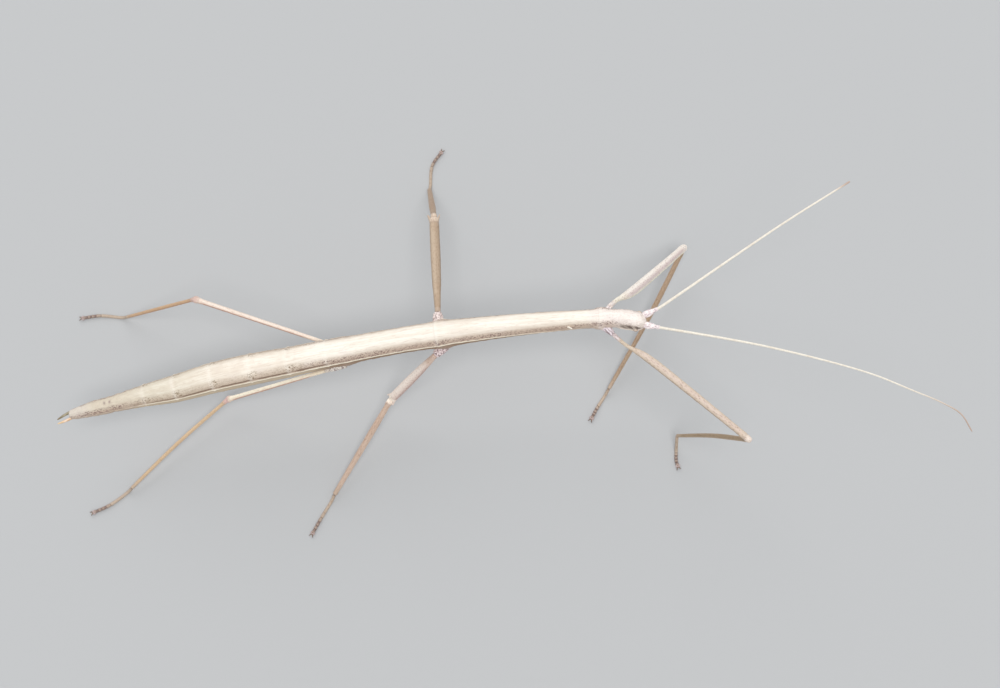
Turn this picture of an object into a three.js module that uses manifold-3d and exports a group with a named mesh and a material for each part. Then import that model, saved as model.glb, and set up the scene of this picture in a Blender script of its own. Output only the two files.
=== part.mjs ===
// Stick insect, life size, standing: a slender female walkingstick with long feelers.
// Millimetres, +X towards the head, +Y to the insect's left, +Z up, soles on z = 0.
// Joints are given in one common frame, and the whole is centred over the origin at the end.
import * as THREE from 'three';
import { mergeVertices } from 'three/addons/utils/BufferGeometryUtils.js';
import Module from 'manifold-3d';

const wasm = await Module();
wasm.setup();

// ---- driving dimensions ----

const GAP = 0.06;            // clearance between neighbouring pieces
const BODY_SIDES = 16;       // facets round the body
const LIMB_SIDES = 8;        // facets round a leg
const FINE_SIDES = 6;        // facets round a feeler or a foot
const UP = new THREE.Vector3(0, 0, 1);

// The body hangs from the front of the head and slopes down to the tail.
const HEAD_FRONT = new THREE.Vector3(24.8, -8.1, 24.7);
const BODY_PITCH = 6.7;      // degrees, nose up
const DORSAL_DEPTH = 0.47;   // height above the axis, as a share of the width
const VENTRAL_DEPTH = 0.43;  // depth below the axis, as a share of the width

// One row for each length of the body, from the head back. yaw is its heading in degrees,
// and width is at its front, middle and back.
const BODY = [
  { name: 'head', length: 4.5, yaw: -21.0, width: [2.1, 3.0, 2.8], rings: 9, colour: 'pale' },
  { name: 'prothorax', length: 2.7, yaw: -11.5, width: [2.8, 2.72, 2.75], rings: 5, colour: 'pale' },
  { name: 'mesothorax', length: 25.1, yaw: -5.7, width: [2.75, 3.38, 4.15], rings: 11, colour: 'body' },
  { name: 'metathorax', length: 17.4, yaw: -1.2, width: [4.05, 4.05, 4.4], rings: 8, colour: 'body' },
  { name: 'abdomen_2', length: 6.1, yaw: 0.6, width: [4.4, 4.5, 4.6], rings: 4, colour: 'body' },
  { name: 'abdomen_3', length: 6.1, yaw: -0.4, width: [4.6, 4.75, 4.85], rings: 4, colour: 'body' },
  { name: 'abdomen_4', length: 6.2, yaw: 1.4, width: [4.85, 4.82, 4.7], rings: 4, colour: 'body' },
  { name: 'abdomen_5', length: 6.1, yaw: 4.4, width: [4.7, 4.5, 4.2], rings: 4, colour: 'body' },
  { name: 'abdomen_6', length: 5.1, yaw: 1.6, width: [4.2, 3.85, 3.35], rings: 4, colour: 'body' },
  { name: 'abdomen_7', length: 5.1, yaw: 3.1, width: [3.35, 2.98, 2.52], rings: 4, colour: 'body' },
  { name: 'abdomen_8', length: 3.1, yaw: 2.6, width: [2.5, 2.54, 2.42], rings: 4, colour: 'tail' },
  { name: 'abdomen_9', length: 1.8, yaw: 3.4, width: [2.42, 2.26, 2.06], rings: 3, colour: 'tail' },
  { name: 'abdomen_10', length: 2.4, yaw: 3.8, width: [2.04, 1.78, 1.34], rings: 5, colour: 'tail' },
];

// Domes: the share of the head, and of the last ring, that rounds off at its free end, how
// far it draws in there, and how closely the rings crowd towards that end.
const HEAD_DOME = { share: 0.22, drawIn: 0.86, crowd: 1.7 };
const TAIL_DOME = { share: 0.12, drawIn: 0.5, crowd: 1.5 };

// Eyes: bulging buttons, set low and well forward on the cheeks.
const EYE = {
  along: 0.31, out: 0.46, lift: 0.04, long: 0.95, tall: 0.8, deep: 0.7, columns: 12, rows: 8,
};

// Mouthparts: a wedge under the face, with two pairs of palps, each bent down and forward.
const MOUTH = {
  along: 0.42, sink: 0.3, reach: 1.15, drop: 1.05, width: 1.4, depth: 0.9, taper: 0.55,
};
const PALPS = [
  { at: 0.6, out: 0.5, drop: 0.52, reach: 0.78, dip: 0.2, thick: 0.34 },
  { at: 0.85, out: 0.2, drop: 0.36, reach: 0.54, dip: 0.14, thick: 0.3 },
];

// Operculum: a boat-shaped plate under the eighth and ninth rings. Its ends lie at these
// shares of the depth of the rings, and it starts a little ahead of the eighth.
const OPERCULUM = {
  length: 4.9, width: 1.7, keel: [0.5, 0.32], wall: 0.4, ahead: 0.6, depths: [0.8, 0.95], blunt: 0.06,
};

// Cerci: two short pointed blades on the last ring.
const CERCUS = { along: 0.84, length: 2.55, wide: 0.52, tall: 0.46, tip: 0.22, out: 0.33 };
const CERCUS_SWING = { left: 16, right: 8 };   // degrees that each leans to the right

// Feelers: a flat scape and a short pedicel, given as [share of the length, width, height],
// then a long whip, which bends at these points.
const SCAPE = [
  [0, 0.7, 0.6], [0.15, 1.0, 0.66], [0.35, 1.08, 0.68], [0.58, 0.86, 0.62], [0.72, 0.58, 0.56],
  [0.86, 0.66, 0.6], [1, 0.56, 0.56],
];
const WHIP_BASE = 0.56;
const WHIP_TIP = 0.5;
const FEELERS = {
  left: {
    root: [24.4, -6.95, 24.8],
    joint: [26.9, -6.3, 25.2],
    whip: [[46.7, 2.2, 28.8], [57.9, 6.5, 31.0]],
    splitAt: 0.52,
    rings: [7, 7],
  },
  right: {
    root: [24.1, -8.2, 24.8],
    joint: [26.65, -9.25, 25.2],
    whip: [
      [41.5, -15.3, 27.2], [55.0, -22.0, 28.6], [60.4, -25.5, 28.8],
      [64.7, -28.3, 28.6], [66.9, -30.2, 28.2], [68.1, -32.9, 27.4],
    ],
    splitAt: 0.5,
    rings: [9, 14],
  },
};

// Leg profiles: [share of the length, width, height] from the body outwards.
const COXA = {
  fore: [[0, 1.6, 1.4], [0.3, 1.5, 1.3], [0.6, 1.15, 1.05], [0.8, 0.95, 0.9], [1, 0.82, 0.8]],
  mid: [[0, 1.85, 1.5], [0.5, 1.75, 1.4], [0.85, 1.4, 1.2], [1, 1.15, 1.04]],
  hind: [[0, 1.8, 1.5], [0.35, 1.6, 1.35], [0.7, 1.25, 1.15], [1, 0.9, 0.86]],
};
const FEMUR = {
  fore: [
    [0, 0.76, 0.72], [0.05, 0.62, 0.6], [0.13, 0.64, 0.66], [0.175, 1.0, 0.88], [0.22, 1.24, 1.0],
    [0.28, 1.3, 1.04], [0.4, 1.3, 1.04], [0.65, 1.18, 1.0], [0.9, 1.06, 0.96],
    [0.955, 1.14, 1.04], [0.985, 0.96, 0.9], [1, 0.6, 0.6],
  ],
  mid: [
    [0, 0.9, 0.84], [0.06, 0.98, 0.9], [0.3, 1.3, 1.12], [0.6, 1.5, 1.22], [0.9, 1.42, 1.2],
    [0.965, 1.46, 1.22], [1, 1.24, 1.08],
  ],
  hind: [
    [0, 0.7, 0.68], [0.05, 0.62, 0.62], [0.5, 0.68, 0.66], [0.92, 0.76, 0.72], [0.965, 1.08, 0.98],
    [1, 0.8, 0.74],
  ],
};
const TIBIA = {
  fore: [[0, 0.8, 0.8], [0.06, 0.9, 0.84], [0.3, 0.85, 0.8], [0.94, 0.62, 0.6], [1, 0.64, 0.62]],
  mid: [
    [0, 0.98, 0.94], [0.05, 1.1, 1.02], [0.085, 0.86, 0.84], [0.35, 0.98, 0.92], [0.94, 0.74, 0.7],
    [1, 0.76, 0.72],
  ],
  hind: [[0, 0.78, 0.76], [0.04, 0.62, 0.6], [0.4, 0.64, 0.62], [0.94, 0.54, 0.52], [1, 0.6, 0.58]],
};
const TARSUS = [
  [0, 0.6, 0.6], [0.08, 0.54, 0.54], [0.55, 0.52, 0.54], [0.6, 0.62, 0.56], [0.63, 0.5, 0.52],
  [0.71, 0.6, 0.56], [0.74, 0.5, 0.52], [0.81, 0.6, 0.56], [0.84, 0.5, 0.52], [0.9, 0.58, 0.56],
  [0.94, 0.84, 0.64], [0.985, 0.84, 0.6], [1, 0.56, 0.4],
];
const SOLE_RISE = 0.22;      // height of a tarsus's centre line where it lies on the floor
const LANDING = { slope: 1.3, most: 0.4 };   // how far forward the foot reaches the floor
const HEEL_SHARE = 0.55;     // share of the lying foot that keeps the first heading
const CLAW = { length: 0.55, thick: 0.24, spread: 28, pitch: 6, along: 0.97, out: 0.15, rise: 0.06 };
const SPINE_TIP = 0.14;      // thickness of a spine or claw at its tip
const SPINE_SIDES = 5;
const KNEE_OVERRUN = { fore: 0.4, mid: -0.05, hind: 0.4 };   // the femur's reach past the knee's centre
const FEMUR_INSET = 0.05;    // and starts this far inside the coxa's end
const APICAL_SPINE = { length: 1.35, thick: 0.56, along: 0.955, out: 0.46, splay: 0.42, lift: 0.1 };
const FLOOR_BLOCK = { side: 20, depth: 4 };

// Fore femora are thin and bowed at the base, to clear the head: [share, offset inwards].
const FORE_BOW = [[0.1, -0.1], [0.22, 0.32], [0.55, 0.28]];

// Joints of the six legs: hip inside the thorax, femur's root, knee, ankle, then the foot's
// length and the headings in degrees of its first and last part. girth swells or thins the
// femur and the tibia.
const LEGS = [
  {
    name: 'fore_left', kind: 'fore', girth: 1.14, near: ['prothorax', 'mesothorax'], inwards: -1, bow: 0.3,
    hip: [18.8, -5.9, 23.8], root: [19.9, -4.3, 23.3], knee: [34.8, 7.6, 5.9],
    ankle: [18.8, -12.5, 1.0], foot: 5.8, headings: [-132, -128],
  },
  {
    name: 'fore_right', kind: 'fore', girth: 0.92, near: ['prothorax', 'mesothorax'], inwards: 1, bow: -0.35,
    hip: [18.4, -6.9, 23.7], root: [19.7, -8.7, 23.45], knee: [36.3, -28.3, 25.8],
    ankle: [28.1, -22.3, 3.2], foot: 6.0, headings: [-100, -84],
  },
  {
    name: 'mid_left', kind: 'mid', girth: 1, near: ['mesothorax', 'metathorax'], inwards: 1, bow: 0,
    hip: [-6.2, -1.9, 20.7], root: [-6.0, 0.15, 20.3], knee: [-4.3, 16.6, 16.3],
    ankle: [-4.7, 26.2, 1.0], foot: 7.7, headings: [76, 48],
  },
  {
    name: 'mid_right', kind: 'mid', girth: 1, near: ['mesothorax', 'metathorax'], inwards: 1, bow: 0,
    hip: [-5.2, -4.8, 20.3], root: [-7.5, -6.3, 19.5], knee: [-16.1, -9.0, 5.8],
    ankle: [-27.9, -22.0, 1.0], foot: 7.4, headings: [-130, -128],
  },
  {
    name: 'hind_left', kind: 'hind', girth: 1, near: ['metathorax', 'abdomen_2'], inwards: 1, bow: 0,
    hip: [-21.9, -2.0, 17.9], root: [-23.3, -1.2, 16.9], knee: [-43.5, 9.9, 16.4],
    ankle: [-57.8, 13.3, 1.0], foot: 8.0, headings: [165, 178],
  },
  {
    name: 'hind_right', kind: 'hind', girth: 1, near: ['metathorax', 'abdomen_2'], inwards: 1, bow: -0.3,
    hip: [-21.4, -4.7, 18.3], root: [-24.0, -5.3, 17.9], knee: [-42.5, -4.1, 3.9],
    ankle: [-60.4, -15.3, 0.9], foot: 7.6, headings: [-153, -165],
  },
];

const COLOURS = {
  pale: 0xd9c9b4, body: 0xd2c0a0, tail: 0xc4ad90, eye: 0x6b5648, mouth: 0xb39a80,
  blade: 0x9a7650, coxa: 0xb09c86, fore: 0xc0a68f, mid: 0xa98a72, hind: 0xb9946c,
  tibia: 0xa87f5c, foot: 0x6f6058, feeler: 0xcdbb94,
};

// ---- helpers ----

const radians = THREE.MathUtils.degToRad;
const lerp = THREE.MathUtils.lerp;
const point = (xyz) => new THREE.Vector3(...xyz);

function heading(yaw, pitch = 0) {
  const flat = Math.cos(radians(pitch));
  const x = Math.cos(radians(yaw)) * flat;
  const y = Math.sin(radians(yaw)) * flat;
  return new THREE.Vector3(x, y, Math.sin(radians(pitch)));
}

// Unit vectors across a path, to its side and upwards.
function across(tangent) {
  const side = new THREE.Vector3().crossVectors(UP, tangent).normalize();
  const lift = new THREE.Vector3().crossVectors(tangent, side);
  return { side, lift };
}

// A closed loft along a path. size(u) gives half the width and the half heights above and
// below the path at share u of its length. grow swells it all round, to cut a neighbour.
function loft(path, shares, sides, size, grow = 0) {
  const positions = [];
  const faces = [];
  const last = shares.length - 1;
  const turn = sides % 4 === 0 ? 0.5 : 0;   // so that a facet lies flat underneath
  shares.forEach((u, ring) => {
    const tangent = path.getTangentAt(u);
    const { side, lift } = across(tangent);
    const endShift = ring === 0 ? -grow : ring === last ? grow : 0;
    const centre = path.getPointAt(u).addScaledVector(tangent, endShift);
    const { half, above, below } = size(u);
    for (let k = 0; k < sides; k += 1) {
      const angle = ((k + turn) / sides) * 2 * Math.PI;
      const height = Math.sin(angle) > 0 ? above : below;
      const corner = centre.clone()
        .addScaledVector(side, Math.cos(angle) * (half + grow))
        .addScaledVector(lift, Math.sin(angle) * (height + grow));
      positions.push(corner.x, corner.y, corner.z);
    }
    if (ring === 0 || ring === last) {
      const cap = ring === 0 ? 'start' : 'end';
      faces.push({ cap, ring, centre });
    }
  });
  const index = [];
  for (let ring = 0; ring < last; ring += 1) {
    for (let k = 0; k < sides; k += 1) {
      const next = (k + 1) % sides;
      const a = ring * sides + k;
      const b = ring * sides + next;
      index.push(a, b, b + sides, a, b + sides, a + sides);
    }
  }
  faces.forEach(({ cap, ring, centre }) => {
    const middle = positions.length / 3;
    positions.push(centre.x, centre.y, centre.z);
    for (let k = 0; k < sides; k += 1) {
      const a = ring * sides + k;
      const b = ring * sides + ((k + 1) % sides);
      if (cap === 'start') index.push(middle, b, a);
      else index.push(middle, a, b);
    }
  });
  const geometry = new THREE.BufferGeometry();
  geometry.setAttribute('position', new THREE.Float32BufferAttribute(positions, 3));
  geometry.setIndex(index);
  return geometry;
}

// Straight-line reading of a leg profile, multiplied by girth.
function profileSize(profile, girth = 1) {
  return (u) => {
    let row = 1;
    while (row < profile.length - 1 && profile[row][0] < u) row += 1;
    const [u0, width0, height0] = profile[row - 1];
    const [u1, width1, height1] = profile[row];
    const share = (u - u0) / (u1 - u0);
    const half = (lerp(width0, width1, share) / 2) * girth;
    const tall = (lerp(height0, height1, share) / 2) * girth;
    return { half, above: tall, below: tall };
  };
}

// The profile's own stations, with more between them where they lie far apart.
function stations(profile, widest = 0.2) {
  const shares = [0];
  for (let row = 1; row < profile.length; row += 1) {
    const from = profile[row - 1][0];
    const to = profile[row][0];
    const parts = Math.ceil((to - from) / widest);
    for (let k = 1; k <= parts; k += 1) shares.push(lerp(from, to, k / parts));
  }
  return shares;
}

const evenShares = (rings) => Array.from({ length: rings }, (_, k) => k / (rings - 1));

// Solids for joining and cutting.
function toSolid(geometry) {
  const bare = geometry.clone();
  bare.deleteAttribute('normal');
  bare.deleteAttribute('uv');
  const merged = mergeVertices(bare, 1e-5);
  return new wasm.Manifold(new wasm.Mesh({
    numProp: 3,
    vertProperties: new Float32Array(merged.attributes.position.array),
    triVerts: new Uint32Array(merged.index.array),
  }));
}

function toGeometry(solid) {
  const mesh = solid.getMesh();
  const geometry = new THREE.BufferGeometry();
  geometry.setAttribute('position', new THREE.BufferAttribute(mesh.vertProperties, 3));
  geometry.setIndex(new THREE.BufferAttribute(mesh.triVerts, 1));
  return geometry;
}

const cut = (geometry, ...cutters) => toGeometry(
  cutters.reduce((solid, cutter) => solid.subtract(toSolid(cutter)), toSolid(geometry)),
);
const join = (...geometries) => toGeometry(
  geometries.map(toSolid).reduce((whole, solid) => whole.add(solid)),
);

const group = new THREE.Group();

function addPiece(name, geometry, colour, roughness = 0.62) {
  const flat = geometry.toNonIndexed();
  flat.computeVertexNormals();
  const material = new THREE.MeshStandardMaterial({
    color: COLOURS[colour], roughness, metalness: 0,
  });
  const mesh = new THREE.Mesh(flat, material);
  mesh.name = name;
  group.add(mesh);
}

// ---- body ----

// Each length of the body is a Bezier arc, so that neighbours share a tangent and a plane.
function bodyArcs() {
  const directions = BODY.map(({ yaw }) => heading(yaw, BODY_PITCH));
  const borders = [HEAD_FRONT.clone()];
  BODY.forEach(({ length }, k) => {
    borders.push(borders[k].clone().addScaledVector(directions[k], -length));
  });
  const tangents = borders.map((_, k) => {
    const ahead = directions[Math.max(k - 1, 0)];
    const behind = directions[Math.min(k, directions.length - 1)];
    return ahead.clone().add(behind).normalize();
  });
  return BODY.map(({ length }, k) => new THREE.CubicBezierCurve3(
    borders[k],
    borders[k].clone().addScaledVector(tangents[k], -length / 3),
    borders[k + 1].clone().addScaledVector(tangents[k + 1], length / 3),
    borders[k + 1],
  ));
}

// Parabola through the widths at the front, middle and back of a row.
function widthAt([front, middle, back], u) {
  return front * (1 - u) * (1 - 2 * u) + 4 * middle * u * (1 - u) + back * u * (2 * u - 1);
}

// Share of the full width where an end rounds off like a quarter circle.
function domeAt(name, u) {
  const roundOff = ({ share, drawIn }, fromEnd) => (
    fromEnd < share ? Math.sqrt(1 - drawIn * (1 - fromEnd / share) ** 2) : 1
  );
  if (name === 'head') return roundOff(HEAD_DOME, u);
  if (name === 'abdomen_10') return roundOff(TAIL_DOME, 1 - u);
  return 1;
}

function bodySize({ name, width }) {
  return (u) => {
    const full = widthAt(width, u) * domeAt(name, u);
    return { half: full / 2, above: full * DORSAL_DEPTH, below: full * VENTRAL_DEPTH };
  };
}

// Stations close up towards a rounded end.
function bodyShares({ name, rings, length }) {
  const shares = evenShares(rings).map((u) => {
    if (name === 'head') return u ** HEAD_DOME.crowd;
    if (name === 'abdomen_10') return 1 - (1 - u) ** TAIL_DOME.crowd;
    return u;
  });
  const inset = GAP / 2 / length;
  shares[0] = name === 'head' ? 0 : inset;
  shares[rings - 1] = name === 'abdomen_10' ? 1 : 1 - inset;
  return shares;
}

const arcs = bodyArcs();
const bodyRow = (name) => BODY.findIndex((row) => row.name === name);

function bodyLoft(name, grow = 0) {
  const row = bodyRow(name);
  return loft(arcs[row], bodyShares(BODY[row]), BODY_SIDES, bodySize(BODY[row]), grow);
}

// A place on a length of the body: share along it, then shares of its width out and up.
function onBody(name, along, out, lift) {
  const row = bodyRow(name);
  const tangent = arcs[row].getTangentAt(along).negate();
  const axes = across(tangent);
  const width = widthAt(BODY[row].width, along);
  const place = arcs[row].getPointAt(along)
    .addScaledVector(axes.side, out * width)
    .addScaledVector(axes.lift, lift * width);
  return { place, tangent, ...axes };
}

function addBody() {
  BODY.forEach(({ name, colour }) => addPiece(name, bodyLoft(name), colour));
}

// ---- head ----

function addEyes() {
  const skull = bodyLoft('head', GAP);
  [['eye_left', 1], ['eye_right', -1]].forEach(([name, sign]) => {
    const { place, tangent, side, lift } = onBody('head', EYE.along, sign * EYE.out, EYE.lift);
    const ball = new THREE.SphereGeometry(0.5, EYE.columns, EYE.rows);
    ball.scale(EYE.long, EYE.deep, EYE.tall);
    const turn = new THREE.Matrix4().makeBasis(tangent, side, lift);
    ball.applyMatrix4(turn);
    ball.translate(place.x, place.y, place.z);
    addPiece(name, cut(ball, skull), 'eye', 0.25);
  });
}

function addMouth() {
  const { place, tangent, side, lift } = onBody('head', MOUTH.along, 0, -MOUTH.sink);
  const end = place.clone()
    .addScaledVector(tangent, MOUTH.reach)
    .addScaledVector(lift, -MOUTH.drop);
  const path = new THREE.LineCurve3(place, end);
  const wedge = loft(path, evenShares(4), LIMB_SIDES, (u) => {
    const taper = lerp(1, MOUTH.taper, u * u) / 2;
    return { half: MOUTH.width * taper, above: MOUTH.depth * taper, below: MOUTH.depth * taper };
  });
  const palps = PALPS.flatMap((palp) => [1, -1].map((sign) => {
    const root = path.getPoint(palp.at).addScaledVector(side, (sign * palp.out) / 2);
    const elbow = root.clone()
      .addScaledVector(side, sign * palp.out)
      .addScaledVector(lift, -palp.drop);
    const tip = elbow.clone()
      .addScaledVector(tangent, palp.reach)
      .addScaledVector(lift, -palp.dip);
    const size = () => ({ half: palp.thick / 2, above: palp.thick / 2, below: palp.thick / 2 });
    return loft(new THREE.CatmullRomCurve3([root, elbow, tip]), evenShares(4), 4, size);
  }));
  addPiece('mouthparts', cut(join(wedge, ...palps), bodyLoft('head', GAP)), 'mouth');
}

// ---- feelers ----

function addFeelers() {
  const skull = bodyLoft('head', GAP);
  Object.entries(FEELERS).forEach(([hand, { root, joint, whip, splitAt, rings }]) => {
    const base = new THREE.LineCurve3(point(root), point(joint));
    const scape = loft(base, stations(SCAPE), LIMB_SIDES, profileSize(SCAPE));
    addPiece(`antenna_${hand}_base`, cut(scape, skull), 'feeler');
    const path = new THREE.CatmullRomCurve3([point(joint), ...whip.map(point)], false, 'centripetal');
    const inset = GAP / path.getLength();
    const size = (u) => {
      const half = lerp(WHIP_BASE, WHIP_TIP, u) / 2;
      return { half, above: half, below: half };
    };
    [['near', inset, splitAt - inset / 2], ['far', splitAt + inset / 2, 1]].forEach(
      ([part, from, to], k) => {
        const shares = evenShares(rings[k]).map((u) => lerp(from, to, u));
        addPiece(`antenna_${hand}_${part}`, loft(path, shares, FINE_SIDES, size), 'feeler');
      },
    );
  });
}

// ---- tail ----

function addOperculum() {
  const [frontDepth, backDepth] = OPERCULUM.depths;
  const front = onBody('abdomen_8', 0, 0, -VENTRAL_DEPTH * frontDepth);
  const start = front.place.clone().addScaledVector(front.tangent, OPERCULUM.ahead);
  const back = onBody('abdomen_9', 1, 0, -VENTRAL_DEPTH * backDepth);
  const along = back.place.clone().sub(start).normalize();
  const end = start.clone().addScaledVector(along, OPERCULUM.length);
  const size = (u) => {
    const half = (OPERCULUM.width / 2) * Math.sqrt(Math.max(1 - u ** 3, OPERCULUM.blunt));
    return { half, above: OPERCULUM.wall, below: lerp(...OPERCULUM.keel, u) };
  };
  const boat = loft(new THREE.LineCurve3(start, end), evenShares(8), 12, size);
  const rings = ['abdomen_7', 'abdomen_8', 'abdomen_9', 'abdomen_10'];
  addPiece('operculum', cut(boat, ...rings.map((name) => bodyLoft(name, GAP))), 'tail');
}

function addCerci() {
  const lastRing = bodyLoft('abdomen_10', GAP);
  [['left', 1], ['right', -1]].forEach(([hand, sign]) => {
    const { place, tangent, side } = onBody('abdomen_10', CERCUS.along, sign * CERCUS.out, 0);
    const swing = radians(CERCUS_SWING[hand]);
    const end = place.clone()
      .addScaledVector(tangent, -CERCUS.length * Math.cos(swing))
      .addScaledVector(side, -CERCUS.length * Math.sin(swing));
    const size = (u) => {
      const half = lerp(CERCUS.wide, CERCUS.tip, u * u) / 2;
      const tall = lerp(CERCUS.tall, CERCUS.tip, u * u) / 2;
      return { half, above: tall, below: tall };
    };
    const blade = loft(new THREE.LineCurve3(place, end), evenShares(5), FINE_SIDES, size);
    addPiece(`cercus_${hand}`, cut(blade, lastRing), 'blade');
  });
}

// ---- legs ----

// A path from one joint to the next that bows sideways by the given offsets.
function bowedPath(from, to, offsets) {
  const line = to.clone().sub(from);
  const { side } = across(line.clone().normalize());
  const inner = offsets.map(([share, offset]) => from.clone()
    .addScaledVector(line, share)
    .addScaledVector(side, offset));
  return new THREE.CatmullRomCurve3([from, ...inner, to], false, 'centripetal');
}

// A straight spine or claw, tapering to a blunt tip.
function spike(root, direction, length, thick) {
  const tip = root.clone().addScaledVector(direction, length);
  const size = (u) => {
    const half = lerp(thick, SPINE_TIP, u) / 2;
    return { half, above: half, below: half };
  };
  return loft(new THREE.LineCurve3(root, tip), evenShares(2), SPINE_SIDES, size);
}

// The two side spines at the tip of a middle femur.
function apicalSpines(path) {
  const tangent = path.getTangentAt(1);
  const { side, lift } = across(tangent);
  return [1, -1].map((sign) => {
    const root = path.getPointAt(APICAL_SPINE.along)
      .addScaledVector(side, sign * APICAL_SPINE.out);
    const direction = tangent.clone()
      .addScaledVector(side, sign * APICAL_SPINE.splay)
      .addScaledVector(lift, APICAL_SPINE.lift)
      .normalize();
    return spike(root, direction, APICAL_SPINE.length, APICAL_SPINE.thick);
  });
}

// The foot slopes from the ankle to the floor, then lies along it.
function tarsusPath({ foot, headings }, ankle) {
  const [first, last] = headings;
  const drop = ankle.z - SOLE_RISE;
  const reach = Math.min(drop * LANDING.slope, foot * LANDING.most);
  const landing = ankle.clone().addScaledVector(heading(first), reach).setZ(SOLE_RISE);
  const rest = foot - landing.distanceTo(ankle);
  const middle = landing.clone().addScaledVector(heading(first), rest * HEEL_SHARE);
  const toe = middle.clone().addScaledVector(heading(last), rest * (1 - HEEL_SHARE));
  return new THREE.CatmullRomCurve3([ankle, landing, middle, toe], false, 'centripetal');
}

function clawPair(path) {
  const toe = path.getPointAt(CLAW.along);
  const forward = path.getTangentAt(1);
  const turn = THREE.MathUtils.radToDeg(Math.atan2(forward.y, forward.x));
  return [1, -1].map((sign) => {
    const direction = heading(turn + sign * CLAW.spread, CLAW.pitch);
    const root = toe.clone().addScaledVector(direction, CLAW.out).setZ(SOLE_RISE + CLAW.rise);
    return spike(root, direction, CLAW.length, CLAW.thick);
  });
}

// Cuts a foot flat at floor level.
function floorBlock(under) {
  const { side, depth } = FLOOR_BLOCK;
  const block = new THREE.BoxGeometry(side, side, depth);
  block.translate(under.x, under.y, -depth / 2);
  return block;
}

function addLeg(leg) {
  const [hip, root, knee, ankle] = [leg.hip, leg.root, leg.knee, leg.ankle].map(point);
  const femurDirection = knee.clone().sub(root).normalize();
  const femurEnd = knee.clone().addScaledVector(femurDirection, KNEE_OVERRUN[leg.kind]);
  const femurRoot = root.clone().addScaledVector(femurDirection, -FEMUR_INSET);
  const offsets = leg.kind === 'fore' ? FORE_BOW : [[0.5, 0]];
  const femurPath = bowedPath(femurRoot, femurEnd, offsets.map(([u, d]) => [u, d * leg.inwards]));
  const tibiaPath = bowedPath(knee, ankle, [[0.5, leg.bow]]);
  const footPath = tarsusPath(leg, ankle);
  const part = (path, profile, girth, grow) => loft(
    path, stations(profile), LIMB_SIDES, profileSize(profile, girth), grow,
  );
  const coxaPart = (grow) => part(new THREE.LineCurve3(hip, root), COXA[leg.kind], 1, grow);
  const femurPart = (grow) => part(femurPath, FEMUR[leg.kind], leg.girth, grow);
  const tibiaPart = (grow) => part(tibiaPath, TIBIA[leg.kind], leg.girth, grow);

  const coxa = cut(coxaPart(), ...leg.near.map((name) => bodyLoft(name, GAP)));
  addPiece(`${leg.name}_coxa`, coxa, 'coxa');

  let femur = cut(femurPart(), coxaPart(GAP));
  if (leg.kind === 'mid') femur = join(femur, ...apicalSpines(femurPath));
  addPiece(`${leg.name}_femur`, femur, leg.kind);

  const tibia = cut(tibiaPart(), femurPart(GAP));
  addPiece(`${leg.name}_tibia`, tibia, 'tibia');

  const toes = loft(footPath, stations(TARSUS), FINE_SIDES, profileSize(TARSUS));
  const foot = join(toes, ...clawPair(footPath));
  const sole = cut(foot, tibiaPart(GAP), floorBlock(ankle));
  addPiece(`${leg.name}_tarsus`, sole, 'foot');
}

addBody();
addEyes();
addMouth();
addFeelers();
addOperculum();
addCerci();
LEGS.forEach(addLeg);

// The origin lies on the floor under the middle of everything.
const middle = new THREE.Box3().setFromObject(group).getCenter(new THREE.Vector3());
group.position.set(-middle.x, -middle.y, 0);

export default group;
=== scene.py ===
import math
import bpy
import numpy as np
from mathutils import Matrix


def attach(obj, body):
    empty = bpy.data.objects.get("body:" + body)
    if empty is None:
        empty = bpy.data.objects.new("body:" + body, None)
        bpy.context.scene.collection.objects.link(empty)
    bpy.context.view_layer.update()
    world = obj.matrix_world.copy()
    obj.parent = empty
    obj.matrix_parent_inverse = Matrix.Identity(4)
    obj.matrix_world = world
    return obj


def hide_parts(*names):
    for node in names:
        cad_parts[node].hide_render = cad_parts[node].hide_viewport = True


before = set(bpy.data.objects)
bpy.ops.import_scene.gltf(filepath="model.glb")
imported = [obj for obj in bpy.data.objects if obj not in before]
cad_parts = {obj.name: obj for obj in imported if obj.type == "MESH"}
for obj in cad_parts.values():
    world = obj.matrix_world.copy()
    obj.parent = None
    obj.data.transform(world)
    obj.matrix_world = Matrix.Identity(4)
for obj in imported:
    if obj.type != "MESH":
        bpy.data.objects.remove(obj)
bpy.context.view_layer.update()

# Everything below is in millimetres until a mesh is made.
# Joints are given in the builder's own frame, and centring moves them onto the origin.
millimetre = 0.001
centring = np.array([-0.2431, -0.1388, 0.0])
upwards = np.array([0.0, 0.0, 1.0])
hands = {"left": 1, "right": -1}   # which way each side lies along the body's own left


def place(xyz):
    # a point of the builder's frame, moved into the part's frame
    return np.array(xyz, float) + centring


def unit(vectors):
    return vectors / np.linalg.norm(vectors, axis=-1, keepdims=True)


def linked(name, data):
    # a new object in the scene
    thing = bpy.data.objects.new(name, data)
    bpy.context.scene.collection.objects.link(thing)
    return thing


def standing(right, up, back, where):
    # the matrix of something that stands at a point with these three directions
    columns = np.stack([right, up, back, where], 1)
    return Matrix([*columns.tolist(), [0, 0, 0, 1]])


cameraView = {
    "target": (2.6, -7.3, 24.0),
    "distance": 260.0,
    "tilt": 13.0,      # degrees that it leans towards the insect's right side
    "roll": 9.73,      # degrees
    "lens": 62.15,
    "sensor": 36.0,
    "nearest": 0.01,   # metres
}


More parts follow.
